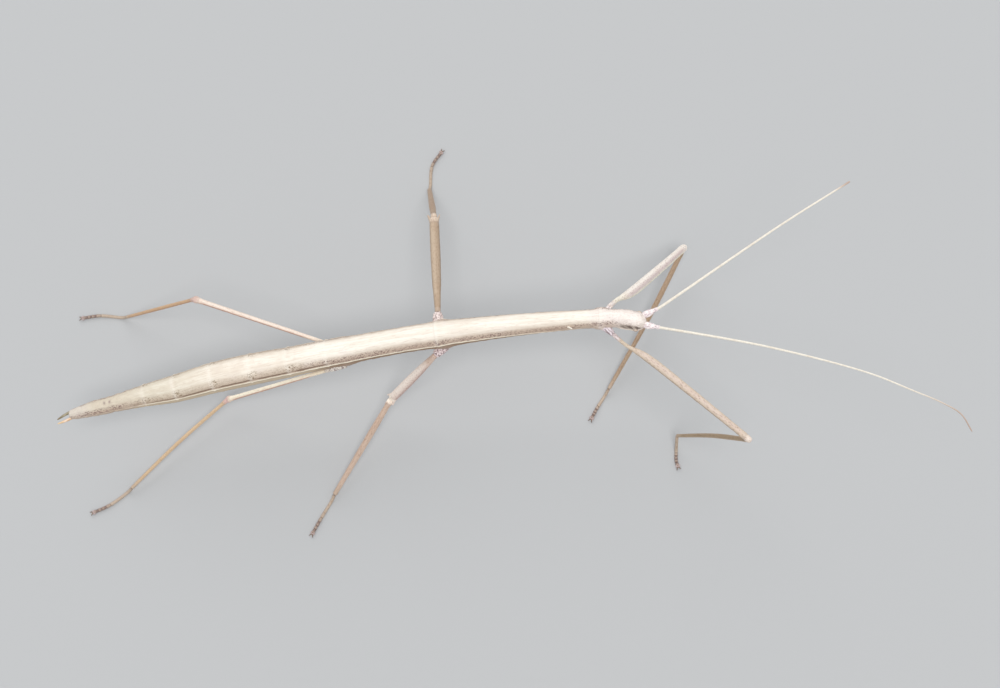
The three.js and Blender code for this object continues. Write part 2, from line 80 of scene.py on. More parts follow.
def makeCamera():
    # looks down at the target from the given distance, tilted and then rolled
    tilt = math.radians(cameraView["tilt"])
    roll = math.radians(cameraView["roll"])
    back = np.array([0.0, -math.sin(tilt), math.cos(tilt)])
    level = np.array([1.0, 0.0, 0.0])
    rise = np.cross(back, level)
    right = level * math.cos(roll) - rise * math.sin(roll)
    eye = place(cameraView["target"]) + back * cameraView["distance"]
    data = bpy.data.cameras.new("camera")
    data.lens = cameraView["lens"]
    data.sensor_width = cameraView["sensor"]
    data.clip_start = cameraView["nearest"]
    camera = linked("camera", data)
    camera.matrix_world = standing(right, np.cross(back, right), back, eye * millimetre)
    bpy.context.scene.camera = camera


lamps = {
    # name: (where it shines from, how wide it looks in degrees, strength, colour)
    "keyLight": ((0.02, -0.12, 0.45), 26.0, 1.5, (1.0, 0.985, 0.972)),
    "backLight": ((-0.05, 0.40, 0.30), 50.0, 1.0, (1.0, 0.99, 0.98)),
}
surroundings = {"colour": (0.84, 0.86, 0.88), "strength": 0.7}
floorLook = {"size": 6.0, "colour": (0.455, 0.462, 0.468), "roughness": 0.85}


def makeLight(name, where, width, strength, colour):
    data = bpy.data.lights.new(name, "SUN")
    data.angle = math.radians(width)
    data.energy = strength
    data.color = colour
    toCentre = unit(-np.array(where))
    side = unit(np.cross(toCentre, upwards))
    linked(name, data).matrix_world = standing(side, np.cross(side, toCentre), -toCentre, where)


def makeStage():
    world = bpy.data.worlds.new("surroundings")
    world.use_nodes = True
    sky = world.node_tree.nodes["Background"]
    sky.inputs["Color"].default_value = (*surroundings["colour"], 1)
    sky.inputs["Strength"].default_value = surroundings["strength"]
    bpy.context.scene.world = world
    bpy.context.scene.view_settings.view_transform = "Standard"
    for name, row in lamps.items():
        makeLight(name, *row)
    half = floorLook["size"] / 2
    mesh = bpy.data.meshes.new("floor")
    corners = [(-half, -half, 0), (half, -half, 0), (half, half, 0), (-half, half, 0)]
    mesh.from_pydata(corners, [], [(0, 1, 2, 3)])
    look = bpy.data.materials.new("floorPaint")
    look.use_nodes = True
    shader = look.node_tree.nodes["Principled BSDF"]
    shader.inputs["Base Color"].default_value = (*floorLook["colour"], 1)
    shader.inputs["Roughness"].default_value = floorLook["roughness"]
    mesh.materials.append(look)
    floor = linked("floor", mesh)


makeCamera()
makeStage()
print("camera, light and floor ready")


class Wire:
    # one socket of a finish, so that sums on it are written as plain expressions
    def __init__(self, finish, socket):
        self.finish = finish
        self.socket = socket

    def maths(self, operation, first, second, clamp=False):
        settings = {"operation": operation, "use_clamp": clamp}
        return self.finish.node("ShaderNodeMath", settings, {0: first, 1: second})

    def __add__(self, other):
        return self.maths("ADD", self, other)

    def __radd__(self, other):
        return self.maths("ADD", other, self)

    def __sub__(self, other):
        return self.maths("SUBTRACT", self, other)

    def __rsub__(self, other):
        return self.maths("SUBTRACT", other, self)

    def __mul__(self, other):
        return self.maths("MULTIPLY", self, other)

    def __rmul__(self, other):
        return self.maths("MULTIPLY", other, self)

    def clamped(self):
        return self.maths("ADD", self, 0.0, clamp=True)

    def between(self, low, high):
        # 0 below low, 1 above high and a smooth step from one to the other
        settings = {"interpolation_type": "SMOOTHSTEP"}
        inputs = {"Value": self, "From Min": low, "From Max": high, "To Min": 0.0, "To Max": 1.0}
        return self.finish.node("ShaderNodeMapRange", settings, inputs)


class Finish:
    # A material: its colour begins as the first one, and lay puts others over it. Patterns are
    # read at strand, the piece's straightened coordinates in millimetres, times factors.
    def __init__(self, name, specular, colours=None, first=None):
        self.material = bpy.data.materials.new(name)
        self.material.use_nodes = True
        self.tree = self.material.node_tree
        self.shader = self.tree.nodes["Principled BSDF"]
        self.shader.inputs["Specular IOR Level"].default_value = specular
        self.colours = colours
        self.strand = self.attribute("strand", "Vector")
        self.colour = first

    def put(self, socket, value):
        if isinstance(value, Wire):
            self.tree.links.new(value.socket, socket)
        elif isinstance(value, str):
            socket.default_value = self.colours[value]
        elif value is not None:
            socket.default_value = value

    def node(self, kind, settings, inputs, output=0):
        made = self.tree.nodes.new(kind)
        for key, value in settings.items():
            setattr(made, key, value)
        for key, value in inputs.items():
            self.put(made.inputs[key], value)
        return Wire(self, made.outputs[output])

    def attribute(self, name, output="Fac"):
        return self.node("ShaderNodeAttribute", {"attribute_name": name}, {}, output)

    def pattern(self, kind, factors, **inputs):
        product = {0: self.strand, 1: np.broadcast_to(factors, 3).tolist()}
        inputs["Vector"] = self.node("ShaderNodeVectorMath", {"operation": "MULTIPLY"}, product)
        return self.node(kind, {}, {"Scale": 1.0, **inputs})

    def noise(self, factors, detail=3.0, roughness=0.55):
        return self.pattern("ShaderNodeTexNoise", factors, Detail=detail, Roughness=roughness)

    def cells(self, factors, randomness=1.0):
        return self.pattern("ShaderNodeTexVoronoi", factors, Randomness=randomness)

    def dots(self, factors, inner, outer):
        # round dots that fade between two distances from their centres
        return 1 - self.cells(factors).between(inner, outer)

    def mixed(self, share, first, second, blend="MIX"):
        settings = {"data_type": "RGBA", "blend_type": blend}
        return self.node("ShaderNodeMix", settings, {0: share, 6: first, 7: second}, 2)

    def lay(self, share, colour, blend="MIX"):
        self.colour = self.mixed(share, self.colour, colour, blend)

    def finish(self, roughness, *bumps):
        # each bump is (height, depth in metres, strength), over the ones before it
        normal = None
        for height, depth, strength in bumps:
            inputs = {"Height": height, "Distance": depth, "Strength": strength, "Normal": normal}
            normal = self.node("ShaderNodeBump", {}, inputs)
        inputs = {"Base Color": self.colour, "Roughness": roughness, "Normal": normal}
        for name, value in inputs.items():
            self.put(self.shader.inputs[name], value)
        return self.material


def paint(red, green, blue):
    # a colour as seen on a screen, 0 to 255, turned into the light it stands for
    return tuple(((c / 255 + 0.055) / 1.055) ** 2.4 for c in (red, green, blue)) + (1.0,)


def palette(**colours):
    return {name: paint(*colour) for name, colour in colours.items()}


def table(columns, rows):
    # rows of plain values, each turned into a dict with the names of the columns
    return {key: dict(zip(columns.split(), row)) for key, row in rows.items()}


def smoothPath(points, count=400):
    # A centripetal Catmull-Rom curve through the points, read at even steps of its length.
    # The ends are mirrored, so that it starts and stops on the first and last point.
    points = np.array(points, float)
    knots = np.vstack([2 * points[0] - points[1], points, 2 * points[-1] - points[-2]])
    gaps = np.sqrt(np.linalg.norm(np.diff(knots, axis=0), axis=1))
    times = np.concatenate([[0.0], np.cumsum(gaps)])
    t = np.linspace(times[1], times[-2], count * 4)
    k = np.clip(np.searchsorted(times, t, "right") - 1, 1, len(points) - 1)

    def mixed(a, b, ta, tb):
        share = ((t - ta) / (tb - ta))[:, None]
        return a * (1 - share) + b * share

    t0, t1, t2, t3 = times[k - 1], times[k], times[k + 1], times[k + 2]
    a1 = mixed(knots[k - 1], knots[k], t0, t1)
    a2 = mixed(knots[k], knots[k + 1], t1, t2)
    a3 = mixed(knots[k + 1], knots[k + 2], t2, t3)
    line = mixed(mixed(a1, a2, t0, t2), mixed(a2, a3, t1, t3), t1, t2)
    walked = np.concatenate([[0.0], np.cumsum(np.linalg.norm(np.diff(line, axis=0), axis=1))])
    even = np.linspace(0, walked[-1], count)
    return np.stack([np.interp(even, walked, line[:, axis]) for axis in range(3)], 1), walked[-1]


def alongPath(path, shares):
    # point and direction of an evenly stepped path at shares of its length
    steps = np.linspace(0, 1, len(path))
    spots, slopes = (
        np.stack([np.interp(shares, steps, rows[:, axis]) for axis in range(3)], 1)
        for rows in (path, np.gradient(path, axis=0)))
    return spots, unit(slopes)


def acrossPath(directions):
    side = unit(np.cross(upwards, directions))
    return side, np.cross(directions, side)


def profileAt(rows, shares, soften):
    # straight-line reading of (share, value, value...) rows, averaged over a small window
    rows = np.array(rows, float)
    window = np.linspace(-soften, soften, 7)
    reads = np.clip(np.asarray(shares)[:, None] + window, 0, 1)
    return [np.interp(reads, rows[:, 0], rows[:, c]).mean(1) for c in range(1, rows.shape[1])]


def bell(distance, width):
    # a smooth bump: 1 at no distance, falling off over the width
    return np.exp(-(distance / width) ** 2)


def turned(angle, centre):
    # angle from the centre, in degrees, wrapped to -180 .. 180
    return (angle - centre + 180) % 360 - 180


def band(angle, centre, width):
    return bell(turned(angle, centre), width)


def rising(value, low, high):
    # 0 below low, 1 above high and a smooth step from one to the other
    t = np.clip((value - low) / (high - low), 0, 1)
    return t * t * (3 - 2 * t)


def fading(value, middle, width):
    # 1 well below the middle, 0 well above it
    return 1 / (1 + np.exp((value - middle) / width))


def lumps(points, size, seed, waves=14):
    # a sum of cosine waves in seeded directions, about -1 to 1, with lumps of the given size
    draw = np.random.default_rng(seed)
    directions = unit(draw.normal(size=(waves, 3)))
    strides = 2 * np.pi / (size * draw.uniform(0.7, 1.6, waves))
    starts = draw.uniform(0, 2 * np.pi, waves)
    total = np.zeros(points.shape[:-1])
    for direction, stride, start in zip(directions, strides, starts):
        total += np.cos(points @ direction * stride + start)
    return total / math.sqrt(waves * 0.5) / 2


def roundSpots(s, v, half, high=None):
    # straightened coordinates: the distance along, then across and up at the angle round it
    turn = np.radians(v)
    return np.stack([s + 0 * v, half * np.cos(turn), (half if high is None else high) * np.sin(turn)], -1)


def ringTube(centres, directions, angles, radiusSide, radiusUp):
    # Rings round a path: centre + side * a * cos(angle) + lift * b * sin(angle), where a and
    # b may change with the place along the path and round it.
    side, lift = acrossPath(directions)
    turn = np.radians(angles)
    across = (radiusSide * np.cos(turn))[..., None] * side[:, None, :]
    upward = (radiusUp * np.sin(turn))[..., None] * lift[:, None, :]
    return centres[:, None, :] + across + upward


def closedTube(rings):
    # vertices and faces of a grid of rings, wrapped round, with a pole at each end
    rows, sides = rings.shape[:2]
    here = np.arange(rows * sides).reshape(rows, sides)
    there = np.roll(here, -1, 1)
    quads = np.stack([here[:-1], there[:-1], there[1:], here[1:]], -1)
    pole = np.full(sides, rows * sides)
    first = np.stack([pole, there[0], here[0]], -1)
    last = np.stack([pole + 1, here[-1], there[-1]], -1)
    return withPoles(rings), quads.reshape(-1, 4), np.vstack([first, last])


def withPoles(values):
    # a value for each vertex of a ring grid, and then one for each pole
    flat = values.reshape(-1, *values.shape[2:])
    return np.concatenate([flat, values[0].mean(0)[None], values[-1].mean(0)[None]])


class Shell:
    # one closed tube, with the values that its finish reads: numbers or rows of three
    def __init__(self, rings, **values):
        self.vertices, self.quads, self.triangles = closedTube(rings)
        self.values = {}
        for name, value in values.items():
            value = np.asarray(value, float)
            shape = rings.shape if value.shape[-1:] == (3,) else rings.shape[:2]
            self.values[name] = withPoles(np.broadcast_to(value, shape))


def makePiece(name, shells, material, slot, nodes=()):
    # joins shells into one mesh, scales it to metres, and ties it to the frame
    vertices = np.vstack([shell.vertices for shell in shells]) * millimetre
    starts = np.cumsum([0] + [len(shell.vertices) for shell in shells[:-1]])
    faces = []
    for shell, start in zip(shells, starts):
        faces += (shell.quads + start).tolist() + (shell.triangles + start).tolist()
    mesh = bpy.data.meshes.new(name)
    mesh.from_pydata(vertices.tolist(), [], faces)
    mesh.polygons.foreach_set("use_smooth", np.ones(len(mesh.polygons), bool))
    for key in shells[0].values:
        values = np.concatenate([shell.values[key] for shell in shells])
        kind, field = ("FLOAT_VECTOR", "vector") if values.ndim == 2 else ("FLOAT", "value")
        layer = mesh.attributes.new(key, kind, "POINT")
        layer.data.foreach_set(field, values.astype(np.float32).ravel())
    mesh.materials.append(material)
    mesh.update()
    piece = linked(name, mesh)
    if nodes:
        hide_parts(*nodes)
    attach(piece, "root")
    print(name, len(vertices), "vertices")


body = {
    "headFront": (24.8, -8.1, 24.7),
    "pitch": 6.7,              # degrees, nose up
    "dorsalDepth": 0.47,       # height above the axis, as a share of the width
    "ventralDepth": 0.43,
    "lean": 11.0,
    "rings": 880,
    "sides": 104,
    # distances and angles that have more rings and sides round them, how far, and how many more
    "crowdedRings": ((0.6, 1.6, 2.8), 0.45, 2.6),
    "crowdedSides": ((12, 30, 150, 168), 16, 2.2),
    "headDome": 1.0,
    "tailDome": 0.35,
    # name: (length, heading in degrees, width at the front, middle and back)
    "rows": {
        "head": (4.5, -21.0, (2.1, 3.0, 2.8)),
        "prothorax": (2.7, -11.5, (2.8, 2.72, 2.75)),
        "mesothorax": (25.1, -5.7, (2.75, 3.38, 4.15)),
        "metathorax": (17.4, -1.2, (4.05, 4.05, 4.4)),
        "abdomen_2": (6.1, 0.6, (4.4, 4.5, 4.6)),
        "abdomen_3": (6.1, -0.4, (4.6, 4.75, 4.85)),
        "abdomen_4": (6.2, 1.4, (4.85, 4.82, 4.7)),
        "abdomen_5": (6.1, 4.4, (4.7, 4.5, 4.2)),
        "abdomen_6": (5.1, 1.6, (4.2, 3.85, 3.35)),
        "abdomen_7": (5.1, 3.1, (3.35, 2.98, 2.52)),
        "abdomen_8": (3.1, 2.6, (2.5, 2.54, 2.42)),
        "abdomen_9": (1.8, 3.4, (2.42, 2.26, 2.06)),
        "abdomen_10": (2.4, 3.8, (2.04, 1.78, 1.34)),
    },
}


def bodyBorders():
    # borders between the lengths, the direction of travel at each, and the distance to each
    lengths, yaws, widths = (np.array(column) for column in zip(*body["rows"].values()))
    yaws, pitch = np.radians(yaws), math.radians(body["pitch"])
    forward = np.stack([np.cos(yaws) * math.cos(pitch), np.sin(yaws) * math.cos(pitch),
                        np.full(len(yaws), math.sin(pitch))], 1)
    steps = np.vstack([[0, 0, 0], np.cumsum(-forward * lengths[:, None], 0)])
    ahead = np.vstack([forward[:1], forward])
    behind = np.vstack([forward, forward[-1:]])
    reach = np.concatenate([[0.0], np.cumsum(lengths)])
    return place(body["headFront"]) + steps, -unit(ahead + behind), reach, widths


borders, travel, reach, bodyWidths = bodyBorders()
bodyLength = reach[-1]
borderAt = dict(zip(body["rows"], reach))


def rowAt(distance):
    # the number of the length that each distance lies on, and the share along it
    row = np.clip(np.searchsorted(reach, distance, "right") - 1, 0, len(reach) - 2)
    return row, (distance - reach[row]) / (reach[row + 1] - reach[row])


def bodyAxis(distance):
    # Each length is a cubic Bezier arc whose handles are a third of it, so that neighbours
    # share a direction. Gives the point and the direction at distances from the head's front.
    row, t = rowAt(distance)
    third, t = (reach[row + 1] - reach[row])[:, None] / 3, t[:, None]
    a, d = borders[row], borders[row + 1]
    b = a + travel[row] * third
    c = d - travel[row + 1] * third
    spots = (1 - t) ** 3 * a + 3 * (1 - t) ** 2 * t * b + 3 * (1 - t) * t ** 2 * c + t ** 3 * d
    slopes = (1 - t) ** 2 * (b - a) + 2 * (1 - t) * t * (c - b) + t ** 2 * (d - c)
    return spots, unit(slopes)


def parabola(widths, u):
    front, middle, back = widths
    return front * (1 - u) * (1 - 2 * u) + 4 * middle * u * (1 - u) + back * u * (2 * u - 1)


def bodyWidth(distance):
    # a parabola through each row's three widths, averaged over a fifth of a millimetre on
    # both sides
    reads = np.asarray(distance)[:, None] + np.linspace(-0.2, 0.2, 9)
    row, u = rowAt(np.clip(reads, 0, bodyLength))
    return parabola(bodyWidths[row].transpose(2, 0, 1), u).mean(1)


def onBody(name, along, out, lift):
    # A place on a length of the body: a share along it, then shares of its width to the left
    # and up. Gives the point and the directions forward, left and up there.
    distance = np.array([borderAt[name] + along * body["rows"][name][0]])
    spots, directions = bodyAxis(distance)
    forward = -directions[0]
    left, up = (line[0] for line in acrossPath(forward[None]))
    wide = parabola(body["rows"][name][2], along)
    return spots[0] + left * out * wide + up * lift * wide, forward, left, up


def spread(count, low, high, spots, width, gain):
    # stations from low to high that crowd together round the given spots
    fine = np.linspace(low, high, 6000)
    crowd = 1 + gain * sum(bell(fine - spot, width) for spot in spots)
    walked = np.concatenate([[0.0], np.cumsum((crowd[1:] + crowd[:-1]) / 2)])
    return np.interp(np.linspace(0, walked[-1], count), walked, fine)


def roundedEnds(distance, length, first, last):
    # quarter-ellipse rounding over the first and last stretch of a limb
    start = np.clip(distance / first, 0, 1)
    end = np.clip((length - distance) / last, 0, 1)
    return np.sqrt(np.clip(1 - (1 - start) ** 2, 0.0009, 1) * np.clip(1 - (1 - end) ** 2, 0.0009, 1))


def limb(points, profile, rings, sides, ends=(0.15, 0.15), shape=None, soften=0.02, level=False):
    # A tube along a smooth path, as wide and high as its profile, with both ends rounded.
    # shape(distance, angles, half width) gives what is added to the radius, and level holds the
    # tube above the floor. Returns the rings, distances, angles and straightened coordinates.
    path, length = smoothPath(points)
    shares = spread(rings, 0, 1, [0, 1], 0.03, 2.5)
    distance = shares * length
    centres, directions = alongPath(path, shares)
    wide, tall = profileAt(profile, shares, soften)
    s, v = distance[:, None], (np.arange(sides) * 360 / sides)[None, :]
    half, high = (wide / 2)[:, None], (tall / 2)[:, None]
    added = shape(s, v, half) if shape else 0
    ends = roundedEnds(distance, length, *ends)[:, None]
    tube = ringTube(centres, directions, v, (half + added) * ends, (high + added) * ends)
    if level:
        tube[..., 2] = np.maximum(tube[..., 2], 0.0)
    return tube, s, v, roundSpots(s, v, half, high)


# Angles round the body: 0 is the right side, 90 the back, 180 the left side, 270 the belly.
# Features on the flanks are given by their elevation on the right side. The body leans a
# little about its own length, so they stand lower on the left side by twice that lean.
bodyMarks = {
    # distance from the head's front, then elevation in degrees
    "paleLine": [(1.4, 6), (5, 3), (7.2, 6), (13.5, 8), (16.5, 12), (22, 18), (26, 20), (30, 24),
                 (33, 19), (38, 20), (46, 23), (50, 25), (56, 28), (78, 27), (92, 14)],
    "darkLine": [(7.2, 24), (44, 31), (50, 33), (56, 35), (75, 34), (92, 30)],
    # distance from the head's front, then strength
    "paleStrength": [(1.2, 0), (1.8, .7), (4.6, .7), (5.2, .1), (7.4, .1), (10, .4), (15, .8),
                     (18, 1), (79, 1), (82, .3), (92, 0)],
    "darkStrength": [(43, 0), (48, .7), (53, 1), (73, 1), (79, .4), (83, 0)],
    "speckles": [(0, .2), (4.5, .6), (5.5, 1.2), (9, 1.2), (11, .8), (17, .6), (22, .9), (25, 1.2),
                 (31, 1.5), (34, .8), (38, .9), (43, 1.5), (48, 1.5), (51, .8), (58, .4), (72, .3),
                 (77, .5), (84, 1), (90, 1.3), (92, .7)],
    # strength of the tan along the body; the tan is partly painted shade on the flanks
    "tan": [(0, .1), (4, .3), (5.5, .8), (12, 1), (48, 1), (54, .85), (72, .75), (78, .7),
            (84, .9), (92, .7)],
}
# how far each form stands out, or sinks in, and the width of the bell across it, which is in
# millimetres along the body and in degrees round it
bodyForm = {
    "neck": (-0.03, 0.22), "collar": (-0.025, 0.14), "notumGroove": (-0.02, 0.12),
    "ringGroove": (-0.018, 0.09), "ringLip": (0.014, 0.14), "knob": (0.08, 0.2),
    "paleKeel": (0.10, 3.8), "belowKeel": (-0.06, 6), "darkGroove": (-0.06, 2.8),
    "backKeel": (0.03, 4), "brow": (0.09, 0.2), "crown": (0.06, 0.9), "headLine": (-0.025, 3.5),
    "cheekGroove": (-0.05, 6),
}
# how far the lumps of the skin stand out, their size, seed and number of waves
skinLumps = {"lumps": (0.024, 1.1, 11, 14), "wrinkles": (0.017, 0.42, 12, 22),
             "headLumps": (0.012, 0.35, 13, 22), "coxaLumps": (0.08, 0.34, 21, 20)}
# where the coxae meet the body: distance from the head's front, angle, size, height, lumpiness
coxaSeats = [(6.8, -14, 1.0, 0.42, 0.7), (6.8, 186, 1.05, 0.42, 0.3), (31.0, -32, 1.45, 0.34, 1.0),
             (31.4, 200, 1.15, 0.46, 1.0), (46.6, -34, 1.4, 0.33, 1.0), (47.3, 216, 1.35, 0.32, 1.0)]
# rims round the eyes and round the feelers' seats, on both sides of the head: distance from its
# front, angle, radius, height and width
headRims = [(1.4, 5.0, 0.44, 0.07, 0.11), (0.62, 52.0, 0.42, 0.10, 0.12)]
headAt = {"brow": 0.95, "crown": 2.6, "lines": 3.0, "cheek": 2.9}
# a small thorn on the right flank of the thorax: distance, elevation, length, thickness
thorn = {"from": 12.0, "elevation": 33.0, "length": 1.05, "thick": 0.4}


def reading(name, distance):
    return np.interp(distance, *zip(*bodyMarks[name]))


def raised(name, distance):
    # how far a form of the table stands out at a distance from its middle
    height, width = bodyForm[name]
    return height * bell(distance, width)


def skinned(name, points):
    height, *rest = skinLumps[name]
    return height * lumps(points, *rest)


def crowded(name, more=()):
    # what spread needs to put more rings or sides where they are wanted
    spots, width, gain = body["crowded" + name]
    return [*more, *spots], width, gain


def makeBody():
    distance = spread(body["rings"], 0, bodyLength, *crowded("Rings", reach[1:-1]))
    angles = spread(body["sides"] + 1, -90, 270, *crowded("Sides"))[:-1]
    centres, directions = bodyAxis(distance)
    # both ends round off like a quarter of an ellipse
    fromFront = np.clip(distance / body["headDome"], 0, 1)
    fromBack = np.clip((bodyLength - distance) / body["tailDome"], 0, 1)
    dome = np.sqrt(np.clip(1 - (1 - fromFront) ** 2, 0.0004, 1))[:, None]
    dome = dome * np.sqrt(np.clip(1 - 0.9 * (1 - fromBack) ** 2, 0.0004, 1))[:, None]

    s, v = distance[:, None], angles[None, :]
    w = (bodyWidth(distance) / 2)[:, None]
    lean = body["lean"]
    elevation = np.degrees(np.arcsin(np.sin(np.radians(v - lean)))) + lean + 0 * s
    straight = roundSpots(s, v, w)
    wavy = 0.12 * lumps(straight * [0, 1, 1], 3.0, 5)
    fromEdges = {name: s - borderAt[name] - wavy for name in list(body["rows"])[2:]}

    def around(at, angle):
        # distance over the surface from a place on it
        return np.sqrt((s - at) ** 2 + (np.radians(turned(v, angle)) * w) ** 2)

    # necks and rings
    swell = raised("neck", s - borderAt["prothorax"]) + raised("collar", s - borderAt["mesothorax"])
    swell = swell + raised("notumGroove", s - borderAt["prothorax"] - 1.2) * band(v, 90, 60)
    for name, fromEdge in list(fromEdges.items())[1:]:
        swell += raised("ringGroove", fromEdge - 0.06) + raised("ringLip", fromEdge + 0.16)
        knobs = raised("knob", fromEdge + 0.3) * bell(elevation - reading("paleLine", s), 8)
        swell += knobs * (1.0 if name.startswith("abdomen") else 0.4)
    # lines along the flanks
    fromPale = elevation - reading("paleLine", s)
    fromDark = elevation - reading("darkLine", s)
    paleStrength = reading("paleStrength", s)
    darkStrength = reading("darkStrength", s) * (1 - 0.5 * rising(rowAt(s)[1], 0.7, 0.86))
    swell += paleStrength * (raised("paleKeel", fromPale) + raised("belowKeel", fromPale + 13))
    swell += darkStrength * raised("darkGroove", fromDark)
    thorax = fading(s, 50, 1.5) * (1 - fading(s, 7.4, 0.3))
    swell += thorax * raised("backKeel", turned(v, 90 + lean))
    # seats of the legs
    warts = lumps(straight, *skinLumps["coxaLumps"][1:])
    nearCoxa = np.zeros_like(swell)
    for seat, angle, size, height, lumpy in coxaSeats:
        gap = around(seat, angle)
        swell += height * bell(gap, size)
        nearCoxa = np.maximum(nearCoxa, lumpy * bell(gap, size * 0.8))
    swell += skinLumps["coxaLumps"][0] * nearCoxa * warts
    # head
    for at, angle, radius, height, width in headRims:
        for where in (angle, 180 - angle):
            swell += height * bell(around(at, where) - radius, width)
    swell += raised("brow", s - headAt["brow"] - 0.3 * band(v, 90, 22)) * band(v, 90, 42)
    swell += raised("crown", s - headAt["crown"]) * band(v, 90, 50)
    for angle in (-24, 0, 24):
        line = raised("headLine", turned(v, 90) - angle * (0.6 + s / 8))
        swell += line * bell(s - headAt["lines"], 1.1)
    swell += raised("cheekGroove", elevation + 6) * bell(s - headAt["cheek"], 0.9)
    # texture
    rough = 1 + 1.6 * bell(s - 6, 2.2) + 0.9 * (1 - fading(s, 79, 1.5))
    swell += rough * (skinned("lumps", straight) + skinned("wrinkles", straight * [0.22, 1, 1]))
    swell += fading(s, 4.2, 0.12) * skinned("headLumps", straight)

    depth = np.where(np.sin(np.radians(v)) > 0, body["dorsalDepth"], body["ventralDepth"]) * 2
    rings = ringTube(centres, directions, v, (w + swell) * dome, (w * depth + swell) * dome)

    # where the colours lie
    thorax = fading(s, 50, 1) * (1 - fading(s, 7.2, 0.3))
    onAbdomen = rising(s, 52, 54)
    speckBand = bell(np.clip(np.abs(elevation - 45 + 13 * thorax) - 9, 0, None), 9)
    cheek = bell(np.clip(np.abs(elevation - 30) - 8, 0, None), 8 - 1.5 * np.abs(s - 2.3))
    upTo = rising(elevation, 34, 42) * (1 - rising(elevation, 60, 74))

    def atEdges(shift, width):
        return np.max([bell(fromEdge - shift, width) for fromEdge in fromEdges.values()], 0)

    borderSpecks = 1.3 * atEdges(-0.7, 0.75) * upTo * onAbdomen
    tailSpots = sum(bell(s - borderAt["abdomen_8"] - shift, 0.17) for shift in (0.15, 1.0))
    marks = {
        "paleMark": paleStrength * bell(fromPale, 2.8 - 0.9 * onAbdomen),
        # band below the pale line: brown pleura on the thorax, and on the abdomen painted shade on the
        # shadowed belly
        "stripAndShadeMark": paleStrength * (1 - rising(fromPale, -7, -3)) * rising(fromPale, -60, -30),
        "beltMark": rising(s, 48, 54),
        "darkMark": darkStrength * bell(fromDark, 3.0),
        "speckleMark": np.maximum(reading("speckles", s) * speckBand, borderSpecks),
        # tan below the top: the brown of the lower flanks, and painted shade on the flanks and belly
        "tanAndShadeMark": reading("tan", s) * fading(elevation, 52, 6),
        # white along the top: the pale back, and painted light that makes the top brighter than the
        # flanks
        "whiteAndLitMark": 1 - fading(elevation, 56 + 8 * onAbdomen, 9),
        "cheekMark": cheek * rising(s, 0.3, 0.9) * (1 - rising(s, 3.4, 4.2)),
        "wartMark": nearCoxa * (0.5 + 0.5 * warts),
        "wartShade": nearCoxa * np.clip(0.25 - warts, 0, 1),
        "ringDark": atEdges(0.04, 0.09) * (1 - onAbdomen) * (1 - rising(s, 40, 46)),
        "ringPale": atEdges(-0.15, 0.35),
        "spotMark": tailSpots * band(v, 98, 11),
    }
    shells = [Shell(rings, strand=straight, **marks), thornShell(marks)]
    makePiece("bodySkin", shells, bodyFinish(), "body_cuticle", list(body["rows"]))


def thornShell(marks):
    # a cone that leaves the flank and leans towards the head
    seat, facing = np.array([thorn["from"]]), math.radians(thorn["elevation"])
    spots, directions = bodyAxis(seat)
    side, lift = acrossPath(directions)
    outwards = side[0] * math.cos(facing) + lift[0] * math.sin(facing)
    base = spots[0] + outwards * bodyWidth(seat)[0] * 0.44
    tip = base + (outwards * 0.62 - directions[0] * 0.75) * thorn["length"]
    thick = thorn["thick"]
    rows = [(0, thick, thick), (0.5, thick * 0.66, thick * 0.66), (1, 0.08, 0.08)]
    tube, s, _, straight = limb([base, (base + tip) / 2, tip], rows, 20, 14, soften=0.012)
    values = {**dict.fromkeys(marks, 0), "whiteAndLitMark": s / s.max()}
    return Shell(tube, strand=straight + [thorn["from"], 0, 0], **values)


bodyPaint = palette(
    white=(247, 240, 229), cream=(234, 223, 206), beige=(216, 201, 183), tan=(184, 160, 141),
    strip=(146, 120, 96), belt=(196, 178, 152), speck=(116, 88, 86), olive=(124, 102, 74),
    groove=(104, 78, 58), pale=(253, 245, 224), pink=(240, 228, 226), mauve=(172, 148, 146),
    tail=(218, 204, 188), lilac=(228, 218, 214), brown=(100, 84, 76), taupe=(150, 136, 122),
    purple=(112, 82, 92))


